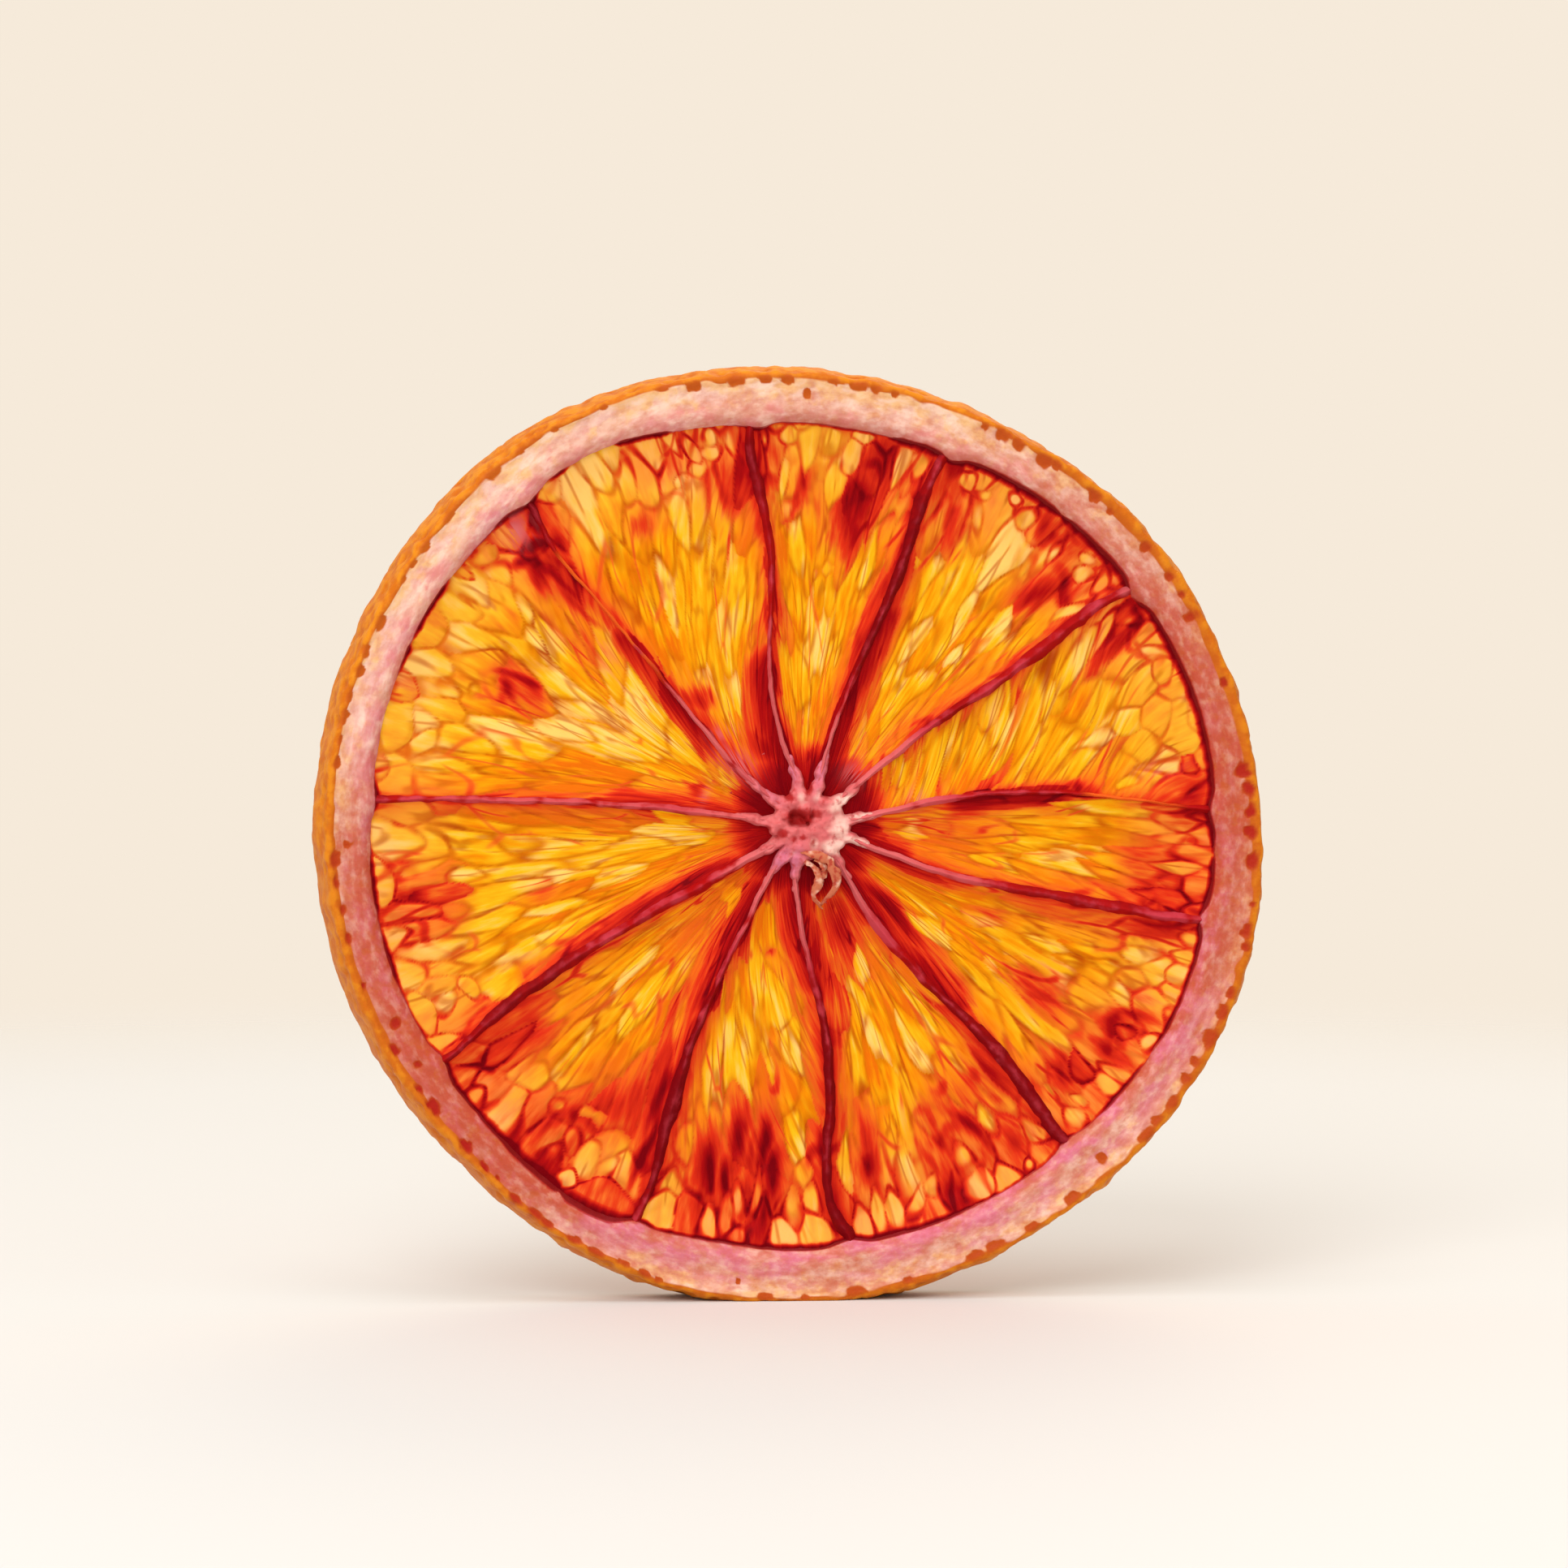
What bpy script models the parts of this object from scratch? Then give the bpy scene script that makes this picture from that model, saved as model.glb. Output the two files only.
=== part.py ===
"""A dried slice of blood orange that stands on its rim, as one solid.

The disc faces along Y, its front towards -Y, and stands on the plane z = 0.
Angles are in degrees round the core, from +X towards +Z, as the front is seen.
"""

import math

import bpy
import numpy as np
from mathutils import Vector, noise

MM = 0.001
NAME = "dried_slice"

# The rind: its mean radius, and its distance from the core, in mm, every 15 degrees round the turn.
RIM_RADIUS = 32.0 * MM
RIM_OUTLINE = (
    31.10, 30.65, 30.55, 30.40, 30.10, 30.20, 30.65, 31.40, 32.30, 32.75, 32.80, 33.00,
    33.15, 33.10, 32.95, 32.80, 33.10, 33.20, 33.00, 32.50, 32.15, 32.05, 31.85, 31.60,
)
RIM_THICKNESS = 5.0 * MM
RIM_EDGE = 0.55 * MM
RIM_TOP = 0.88 * MM
SKIN_CROWN = 0.30 * MM
SKIN_BUMP = 0.16 * MM
SKIN_BUMP_SPACING = 2.6 * MM
FLARE = 0.35 * MM
FLARE_SWING = 0.45 * MM
FLARE_ANGLE = 190
CORE_HEIGHT = 32.45 * MM

# The pith's inner edge, given as the rind is, and notched where a wall meets it.
PULP_RADIUS = 28.5 * MM
PULP_OUTLINE = (
    27.85, 27.75, 27.45, 27.15, 26.95, 26.70, 27.10, 27.75, 29.00, 29.10, 29.45, 29.55,
    29.60, 29.75, 29.70, 29.70, 30.00, 29.15, 28.95, 28.65, 28.50, 28.30, 28.40, 28.10,
)
PULP_NOTCH = 0.40 * MM
PULP_NOTCH_WIDTH = 1.1 * MM
PITH_DIP = 0.25 * MM
PITH_DIP_END = 1.65 * MM
PITH_SHOULDER = 0.70 * MM
PITH_EDGE_DROP = 0.45 * MM
PITH_FOOT = 0.15 * MM
PITH_FOOT_RISE = 0.10 * MM
# The share of the rind's width over which the skin's bumps and flare grow.
SKIN_FROM, SKIN_FULL = 0.6, 0.95

# The dried pulp between the walls.
PULP_THICKNESS = 1.5 * MM
RELIEF_FADE = 0.6 * MM
SAC_HEIGHT = 0.50 * MM
SAC_ROWS = (
    # radius, length, sacs across a segment
    (26.7 * MM, 3.4 * MM, 5),
    (24.3 * MM, 4.0 * MM, 5),
    (21.2 * MM, 5.6 * MM, 6),
    (17.4 * MM, 6.4 * MM, 5),
    (13.4 * MM, 6.6 * MM, 4),
    (9.6 * MM, 6.0 * MM, 3),
    (6.4 * MM, 4.0 * MM, 2),
)
SAC_OVERLAP = 1.25
SAC_JITTER = 0.30
SAC_SEED = 11

# The walls between segments: each one's angle at five distances from the core.
WALL_RADII = (5.5 * MM, 11.0 * MM, 16.5 * MM, 22.0 * MM, 28.3 * MM)
WALLS = (
    (8.0, 9.5, 7.3, 4.2, 1.5),
    (37.8, 37.8, 36.5, 36.6, 34.8),
    (75.0, 72.0, 70.0, 70.0, 68.5),
    (106.5, 103.5, 98.5, 98.0, 97.5),
    (142.0, 136.5, 134.0, 133.2, 131.0),
    (174.0, 173.8, 174.7, 175.5, 176.5),
    (210.5, 209.5, 209.5, 210.5, 212.8),
    (236.0, 239.8, 242.0, 244.7, 246.5),
    (263.0, 273.0, 275.3, 273.6, 275.8),
    (306.0, 305.5, 308.6, 309.6, 309.0),
    (339.5, 340.3, 343.0, 344.6, 346.3),
)
WALL_INNERMOST = 3.3 * MM
WALL_HEIGHT = 1.75 * MM
WALL_CREST = 0.20 * MM
WALL_FOOT = 1.25 * MM

# The core: a fibrous boss with a torn pit in it, and a loose curl of fibre below it.
CORE_TOP_RADIUS = 1.74 * MM
CORE_RADIUS = 2.9 * MM
CORE_HALF_THICKNESS = 1.9 * MM
CORE_PIT = (-0.55 * MM, 0.30 * MM)
CORE_PIT_RADIUS = 0.75 * MM
CORE_PIT_DEPTH = 0.8 * MM
CURL = ((1.3 * MM, -2.2 * MM), (2.1 * MM, -3.0 * MM), (1.5 * MM, -3.9 * MM))
CURL_RADIUS = 0.65 * MM
CURL_HEIGHT = 1.8 * MM

# How finely the surface is turned, and how many triangles are kept.
TURN_STEPS = 480
TURN_MERGE = 0.01 * MM
RING_STEP = 0.42 * MM
EDGE_STEPS = 4
SKIN_STEPS = 7
KEPT_TRIANGLES = 11300
CUTTER_SIDE = 80 * MM
CUTTER_DEPTH = 10 * MM

RIND_COLOUR = (0.86, 0.36, 0.05, 1.0)
RIND_ROUGHNESS = 0.5


def clear_scene():
    for obj in list(bpy.data.objects):
        bpy.data.objects.remove(obj)


def collection(name):
    made = bpy.data.collections.new(name)
    bpy.context.scene.collection.children.link(made)
    return made


def smoothstep(low, high, value):
    t = np.clip((value - low) / (high - low), 0.0, 1.0)
    return t * t * (3.0 - 2.0 * t)


def outline(distances, angle):
    """A smooth closed curve through distances, in mm, that stand at equal steps round the turn."""
    place = angle / (2 * np.pi) * len(distances)
    step = np.floor(place).astype(int)
    along = place - step
    before, start, end, after = (MM * np.take(distances, step + shift, mode="wrap") for shift in (-1, 0, 1, 2))
    leaving, arriving = (end - before) / 2, (after - start) / 2
    bend = 3 * (end - start) - 2 * leaving - arriving
    twist = 2 * (start - end) + leaving + arriving
    return start + along * (leaving + along * (bend + along * twist))


def wall_angles(radius):
    """The angle of each wall at these distances from the core, in radians, one row a wall."""
    reach = np.clip(radius, WALL_INNERMOST, WALL_RADII[-1])
    curves = [np.polyfit(WALL_RADII, np.radians(wall), len(wall) - 1) for wall in WALLS]
    return np.array([np.polyval(curve, reach) for curve in curves])


def turned(angle):
    """The angle brought to within half a turn of zero."""
    return (angle + np.pi) % (2 * np.pi) - np.pi


def pulp_edge(angle):
    """The distance from the core to the pith, with a notch at each wall."""
    edge = outline(PULP_OUTLINE, angle)
    for wall in WALLS:
        aside = turned(angle - math.radians(wall[-1])) * PULP_RADIUS
        edge = edge - PULP_NOTCH * np.exp(-((aside / PULP_NOTCH_WIDTH) ** 2))
    return edge


def disc_profile():
    """The turned disc's section as (radius, y) points, from the front's middle to the back's."""
    half_rim, half_pulp = RIM_THICKNESS / 2, PULP_THICKNESS / 2
    rings = int(PULP_RADIUS / RING_STEP)
    face = [(PULP_RADIUS * i / rings, half_pulp) for i in range(rings)]
    shoulder = half_rim - PITH_EDGE_DROP
    face += [(PULP_RADIUS, half_pulp + PITH_FOOT_RISE)]
    face += [(PULP_RADIUS + PITH_FOOT, shoulder - PITH_EDGE_DROP)]
    face += [(PULP_RADIUS + PITH_SHOULDER / 2, shoulder), (PULP_RADIUS + PITH_SHOULDER, half_rim - PITH_DIP)]
    face += [(RIM_RADIUS - PITH_DIP_END, half_rim - PITH_DIP), (RIM_RADIUS - RIM_TOP, half_rim)]
    for i in range(EDGE_STEPS):
        turn = math.radians(90 * i / EDGE_STEPS)
        inset = RIM_EDGE * (1 - math.sin(turn))
        face.append((RIM_RADIUS - inset, half_rim - RIM_EDGE * (1 - math.cos(turn))))
    side = half_rim - RIM_EDGE
    skin = []
    for i in range(SKIN_STEPS + 1):
        along = 2 * i / SKIN_STEPS - 1
        skin.append((RIM_RADIUS + SKIN_CROWN * (1 - along * along), along * side))
    front = [(radius, -y) for radius, y in face]
    back = [(radius, y) for radius, y in reversed(face)]
    return front + skin + back


def turned_disc():
    """The plain disc: its section turned about the Y axis."""
    points = disc_profile()
    mesh = bpy.data.meshes.new(NAME)
    edges = [(i, i + 1) for i in range(len(points) - 1)]
    mesh.from_pydata([(radius, y, 0.0) for radius, y in points], edges, [])
    disc = bpy.data.objects.new(NAME, mesh)
    screw = disc.modifiers.new("Turn", "SCREW")
    screw.axis = "Y"
    screw.steps = screw.render_steps = TURN_STEPS
    screw.use_merge_vertices = True
    screw.merge_threshold = TURN_MERGE
    screw.use_normal_calculate = True
    return disc


def apply_modifiers(obj):
    graph = bpy.context.evaluated_depsgraph_get()
    mesh = bpy.data.meshes.new_from_object(obj.evaluated_get(graph))
    obj.modifiers.clear()
    old, obj.data = obj.data, mesh
    bpy.data.meshes.remove(old)
    mesh.name = obj.name


def segment_sacs(first, second, random):
    """The juice sacs between two walls, as (middle x, middle z, along, across, heading)."""
    sacs = []
    for row, (radius, length, across) in enumerate(SAC_ROWS):
        walls = wall_angles(np.array([radius]))[:, 0]
        start, span = walls[first], (walls[second] - walls[first]) % (2 * np.pi)
        width = radius * span / across
        for place in np.arange(across) + 0.5 * (row % 2):
            shift = random.uniform(-SAC_JITTER, SAC_JITTER, 3)
            angle = start + span * (place + 0.5 + shift[0]) / across
            distance = radius + length * shift[1]
            heading = angle + shift[2]
            middle = (distance * math.cos(angle), distance * math.sin(angle))
            sacs.append((*middle, length / 2, width / 2 * SAC_OVERLAP, heading))
    return sacs


def sac_relief(x, z, radius, angle, seed):
    """The height of the domed sacs over the pulp, the tallest one showing at each point."""
    random = np.random.default_rng(seed)
    walls = wall_angles(radius)
    height = np.zeros_like(x)
    for first in range(len(WALLS)):
        second = (first + 1) % len(WALLS)
        span = (walls[second] - walls[first]) % (2 * np.pi)
        inside = ((angle - walls[first]) % (2 * np.pi)) < span
        for middle_x, middle_z, along, across, heading in segment_sacs(first, second, random):
            dx, dz = x[inside] - middle_x, z[inside] - middle_z
            lengthways = dx * math.cos(heading) + dz * math.sin(heading)
            sideways = dz * math.cos(heading) - dx * math.sin(heading)
            dome = 1 - (lengthways / along) ** 2 - (sideways / across) ** 2
            dome = SAC_HEIGHT * np.sqrt(np.clip(dome, 0, 1))
            height[inside] = np.maximum(height[inside], dome)
    return height


def wall_relief(radius, angle):
    """How far the point is up a wall's ridge, from 0 at its foot to 1 on its crest."""
    aside = np.abs(turned(wall_angles(radius) - angle)).min(axis=0) * radius
    return 1 - smoothstep(WALL_CREST, WALL_FOOT, aside)


def face_height(x, z, radius, angle, seed):
    """The half thickness of the pulp, with sacs, walls and core."""
    height = PULP_THICKNESS / 2 + sac_relief(x, z, radius, angle, seed)
    wall = wall_relief(radius, angle)
    height = height * (1 - wall) + WALL_HEIGHT * wall
    core = 1 - smoothstep(CORE_TOP_RADIUS, CORE_RADIUS, radius)
    height = height * (1 - core) + CORE_HALF_THICKNESS * core
    from_pit = np.hypot(x - CORE_PIT[0], z - CORE_PIT[1])
    height = height - CORE_PIT_DEPTH * (1 - smoothstep(0, CORE_PIT_RADIUS, from_pit))
    for curl_x, curl_z in CURL:
        bump = CURL_HEIGHT * (1 - smoothstep(0, CURL_RADIUS, np.hypot(x - curl_x, z - curl_z)))
        height = np.maximum(height, bump)
    return height


def skin_bumps(points):
    """The peel's uneven surface, from -1 to 1."""
    return np.array([noise.noise(Vector(p) / SKIN_BUMP_SPACING) for p in points])


def shape_slice(disc):
    """Moves the plain disc's points to the slice's own lobed and ridged surface."""
    mesh = disc.data
    points = np.empty(len(mesh.vertices) * 3)
    mesh.vertices.foreach_get("co", points)
    x, y, z = points.reshape(-1, 3).T
    plain = np.hypot(x, z)
    angle = np.arctan2(z, x) % (2 * np.pi)
    edge, rim = pulp_edge(angle), outline(RIM_OUTLINE, angle)
    in_rind = (plain - PULP_RADIUS) / (RIM_RADIUS - PULP_RADIUS)
    radius = np.where(in_rind < 0, plain * edge / PULP_RADIUS, edge + in_rind * (rim - edge))
    outer = smoothstep(SKIN_FROM, SKIN_FULL, in_rind)
    flare = FLARE + FLARE_SWING * np.cos(angle - math.radians(FLARE_ANGLE))
    radius = radius + outer * flare * y / RIM_THICKNESS
    radius = radius + outer * SKIN_BUMP * skin_bumps(points.reshape(-1, 3))
    x, z = radius * np.cos(angle), radius * np.sin(angle)
    inside = 1 - smoothstep(-RELIEF_FADE, 0.0, plain - PULP_RADIUS)
    for face, seed in ((y < 0, SAC_SEED), (y > 0, SAC_SEED + 1)):
        height = face_height(x[face], z[face], radius[face], angle[face], seed)
        change = (height - PULP_THICKNESS / 2) * inside[face]
        y[face] += np.sign(y[face]) * change
    moved = np.stack([x, y, z + CORE_HEIGHT], axis=1)
    mesh.vertices.foreach_set("co", moved.ravel())
    mesh.update()


def thin_out(disc):
    """Keeps the triangles that the relief needs most."""
    triangles = sum(len(face.vertices) - 2 for face in disc.data.polygons)
    decimate = disc.modifiers.new("Thin out", "DECIMATE")
    decimate.ratio = KEPT_TRIANGLES / triangles
    apply_modifiers(disc)


def centre(disc):
    """Puts the middle of the slice's box over the origin, and leaves its height."""
    corners = np.array([vertex.co for vertex in disc.data.vertices])
    middle = (corners.min(axis=0) + corners.max(axis=0)) / 2
    for vertex in disc.data.vertices:
        vertex.co.x -= middle[0]
        vertex.co.y -= middle[1]


def floor_cutter(cutters):
    bpy.ops.mesh.primitive_cube_add(size=1, location=(0, 0, -CUTTER_DEPTH / 2))
    cutter = bpy.context.object
    cutter.name = "floor_cutter"
    cutter.scale = (CUTTER_SIDE, CUTTER_SIDE, CUTTER_DEPTH)
    bpy.ops.object.transform_apply(location=False, rotation=False, scale=True)
    cutter.hide_render = True
    cutter.display_type = "WIRE"
    for holder in list(cutter.users_collection):
        holder.objects.unlink(cutter)
    cutters.objects.link(cutter)
    return cutter


def principled(name, colour, roughness):
    material = bpy.data.materials.new(name)
    material.use_nodes = True
    shader = material.node_tree.nodes["Principled BSDF"]
    shader.inputs["Base Color"].default_value = colour
    shader.inputs["Roughness"].default_value = roughness
    material.diffuse_color = colour
    return material


def main():
    clear_scene()
    parts, cutters = collection(NAME + "_parts"), collection("cutters")
    disc = turned_disc()
    parts.objects.link(disc)
    bpy.context.view_layer.update()
    apply_modifiers(disc)
    shape_slice(disc)
    bpy.context.view_layer.update()
    thin_out(disc)
    centre(disc)
    flat = disc.modifiers.new("Flat spot", "BOOLEAN")
    flat.operation = "DIFFERENCE"
    flat.object = floor_cutter(cutters)
    disc.data.materials.append(principled("dried_rind", RIND_COLOUR, RIND_ROUGHNESS))
    disc.data.shade_smooth()


main()
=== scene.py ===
"""A dried slice of blood orange standing on its rim: rind, pulp, walls, core and a plain pale stage.

Lengths are in metres, and in the tables in millimetres. Angles go round the core from +X towards +Z,
as the front is seen: in degrees in the tables, and in radians in the code.
"""

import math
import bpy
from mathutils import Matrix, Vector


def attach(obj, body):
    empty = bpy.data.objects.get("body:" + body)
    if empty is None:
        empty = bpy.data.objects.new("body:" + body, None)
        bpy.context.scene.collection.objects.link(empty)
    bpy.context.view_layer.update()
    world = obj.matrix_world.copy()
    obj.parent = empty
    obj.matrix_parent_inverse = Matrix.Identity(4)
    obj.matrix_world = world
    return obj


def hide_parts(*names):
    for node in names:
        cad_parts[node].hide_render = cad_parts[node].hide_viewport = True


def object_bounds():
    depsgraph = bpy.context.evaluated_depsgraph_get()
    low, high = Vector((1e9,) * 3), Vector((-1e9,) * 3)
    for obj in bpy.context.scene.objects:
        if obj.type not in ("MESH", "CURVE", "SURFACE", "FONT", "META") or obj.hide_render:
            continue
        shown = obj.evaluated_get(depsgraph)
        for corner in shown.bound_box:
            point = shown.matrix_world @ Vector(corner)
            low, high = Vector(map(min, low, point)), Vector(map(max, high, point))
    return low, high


bl_info = {
    "name": "Dried Blood Orange Slice",
    "version": (1, 0, 0),
    "blender": (4, 5, 0),
    "location": "View3D > Sidebar > Dried Slice",
    "description": "Builds a dried slice of blood orange piece by piece, with a plain stage",
    "category": "Add Mesh",
}

import bpy
import numpy as np
from mathutils import Vector

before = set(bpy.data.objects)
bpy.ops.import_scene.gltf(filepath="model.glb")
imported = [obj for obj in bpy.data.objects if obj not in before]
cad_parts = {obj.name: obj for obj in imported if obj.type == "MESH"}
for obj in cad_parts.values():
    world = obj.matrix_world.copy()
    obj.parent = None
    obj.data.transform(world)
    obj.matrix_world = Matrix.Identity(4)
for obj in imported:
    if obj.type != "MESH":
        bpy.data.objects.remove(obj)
SOLID_LOW, SOLID_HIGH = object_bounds()

MM = 0.001
NODE = "dried_slice"
BODY = "root"
TAU = 2 * math.pi

# ---------------------------------------------------------------- tables and sizes

# The slice's plan, as in the solid: mean radii, and distances from the core every 15 degrees.
RIM_RADIUS = 32.0 * MM
RIM_OUTLINE = (
    31.1, 30.65, 30.55, 30.4, 30.1, 30.2, 30.65, 31.4, 32.3, 32.75, 32.8, 33, 33.15, 33.1, 32.95, 32.8,
    33.1, 33.2, 33, 32.5, 32.15, 32.05, 31.85, 31.6,
)
RIM_THICKNESS = SOLID_HIGH.y - SOLID_LOW.y
CORE_HEIGHT = 32.45 * MM
PULP_RADIUS = 28.5 * MM
PULP_OUTLINE = (
    27.85, 27.75, 27.45, 27.15, 26.95, 26.7, 27.1, 27.75, 29, 29.1, 29.45, 29.55, 29.6, 29.75, 29.7, 29.7,
    30, 29.15, 28.95, 28.65, 28.5, 28.3, 28.4, 28.1,
)
# How much wider the rim is at the back than at the front: on average, its swing, and where it is most.
FLARE = 0.35 * MM
FLARE_SWING = 0.45 * MM
FLARE_ANGLE = math.radians(190)
# The pith's notch at each wall.
PULP_NOTCH = 0.40 * MM
PULP_NOTCH_WIDTH = 1.1 * MM

# The walls between segments: each one's angle at five distances from the core.
WALL_RADII = (5.5, 11, 16.5, 22, 28.3)
WALLS = (
    (8, 9.5, 7.3, 4.2, 1.5),
    (37.8, 37.8, 36.5, 36.6, 34.8),
    (75, 72, 70, 70, 68.5),
    (106.5, 103.5, 98.5, 98, 97.5),
    (142, 136.5, 134, 133.2, 131),
    (174, 173.8, 174.7, 175.5, 176.5),
    (210.5, 209.5, 209.5, 210.5, 212.8),
    (236, 239.8, 242, 244.7, 246.5),
    (263, 273, 275.3, 273.6, 275.8),
    (306, 305.5, 308.6, 309.6, 309),
    (339.5, 340.3, 343, 344.6, 346.3),
)

# The rind's section from the pulp, under its surface, round the front face to the middle of the skin:
# (share of the rind's width, height over the slice's middle plane).
RIND_SECTION = (
    (-0.1, 0.3), (-0.06, 0.85), (0.01, 1.35), (0.07, 1.85), (0.16, 2.16), (0.28, 2.26), (0.5, 2.22),
    (0.72, 2.29), (0.84, 2.42), (0.92, 2.42), (0.98, 2.16), (1, 1.7), (1.04, 0.85),
)
RIND_BACK = 1.05
RIND_TURN_STEPS = 1150
RIND_STEP = 0.19 * MM
RIND_FOOT = 0.02 * MM
# How pink the pith is round the turn: (angle, share).
PITH_BLUSH = (
    (0, 1.15), (20, 1.05), (45, 0.6), (75, 0.32), (105, 0.28), (128, 0.08), (150, 0.05), (168, 0.2),
    (185, 0.85), (200, 1.1), (225, 1.2), (243, 0.75), (258, 0.5), (285, 0.58), (315, 0.5), (335, 0.8),
    (360, 1.15),
)
# How much lilac shows in the pith round the turn.
PITH_LILAC = (
    (0, 0.25), (40, 0.1), (75, 0.1), (110, 0.35), (135, 0.55), (170, 0.5), (200, 0.4), (230, 0.4), (250, 1),
    (285, 1), (310, 1.2), (335, 0.85), (360, 0.25),
)
# How thick the peel shows on the cut faces round the turn.
PEEL_BAND = (
    (0, 0.85), (30, 0.95), (52, 0.8), (65, 0.55), (100, 0.52), (130, 0.6), (170, 0.65), (182, 1.05),
    (212, 1.1), (238, 0.6), (300, 0.6), (335, 0.65), (360, 0.85),
)
# The raggedness of the peel's inner edge, in fine and coarse cells, and how softly it ends.
PEEL_RAGGED_FINE = 0.10 * MM
PEEL_RAGGED_COARSE = 0.09 * MM
PEEL_SOFT = 0.12 * MM
# The oil glands cut through at the foot of the peel, on both faces: their half sizes, and how far each is
# shifted round the turn, in places, and inwards.
GLANDS = 122
GLAND_SEED = 40
GLAND_HALF_WIDTH = 0.52 * MM
GLAND_HALF_LENGTH = 0.42 * MM
GLAND_SHIFT = 0.28
GLAND_DROP = 0.16 * MM
GLAND_ROUNDNESS = 2.2
# Of the draws from -1 to 1, the ones over which a gland lies deep in the pith and under which it is missing.
DEEP_GLAND = 0.92
DEEP_GLAND_DROP = 0.9 * MM
NO_GLAND = -0.50
# Cells of the skin's lumps and of its ragged inner edge, round the turn. Multiples of 64, so that they join.
FINE_CELLS = 192
COARSE_CELLS = 64
SKIN_LUMP = 0.12 * MM

# The juice sacs: rows from the pith inwards, as (distance, length, sacs across a segment).
SAC_ROWS = (
    (27.2, 2.9, 6), (25, 3.8, 6), (22.2, 6.2, 7), (18.6, 8.6, 7), (14.4, 9.6, 7), (10.4, 8, 6),
    (7.2, 5.6, 5), (4.8, 3, 3),
)
# How much paler than the rest each segment's sacs are.
SAC_TONES = (0.06, 0.08, 0.03, 0.02, 0.04, 0.02, -0.12, -0.08, -0.06, -0.02, -0.05)
# How far the sacs lean from straight out beside each segment's two walls.
SAC_LEANS = (
    (42, 38), (2, 10), (-8, 4), (-24, -18), (-28, 12), (-12, 12), (-5, 18), (22, 24), (-8, 10), (-12, 8),
    (-5, -4),
)
LEAN_RADIUS = 25 * MM
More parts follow.
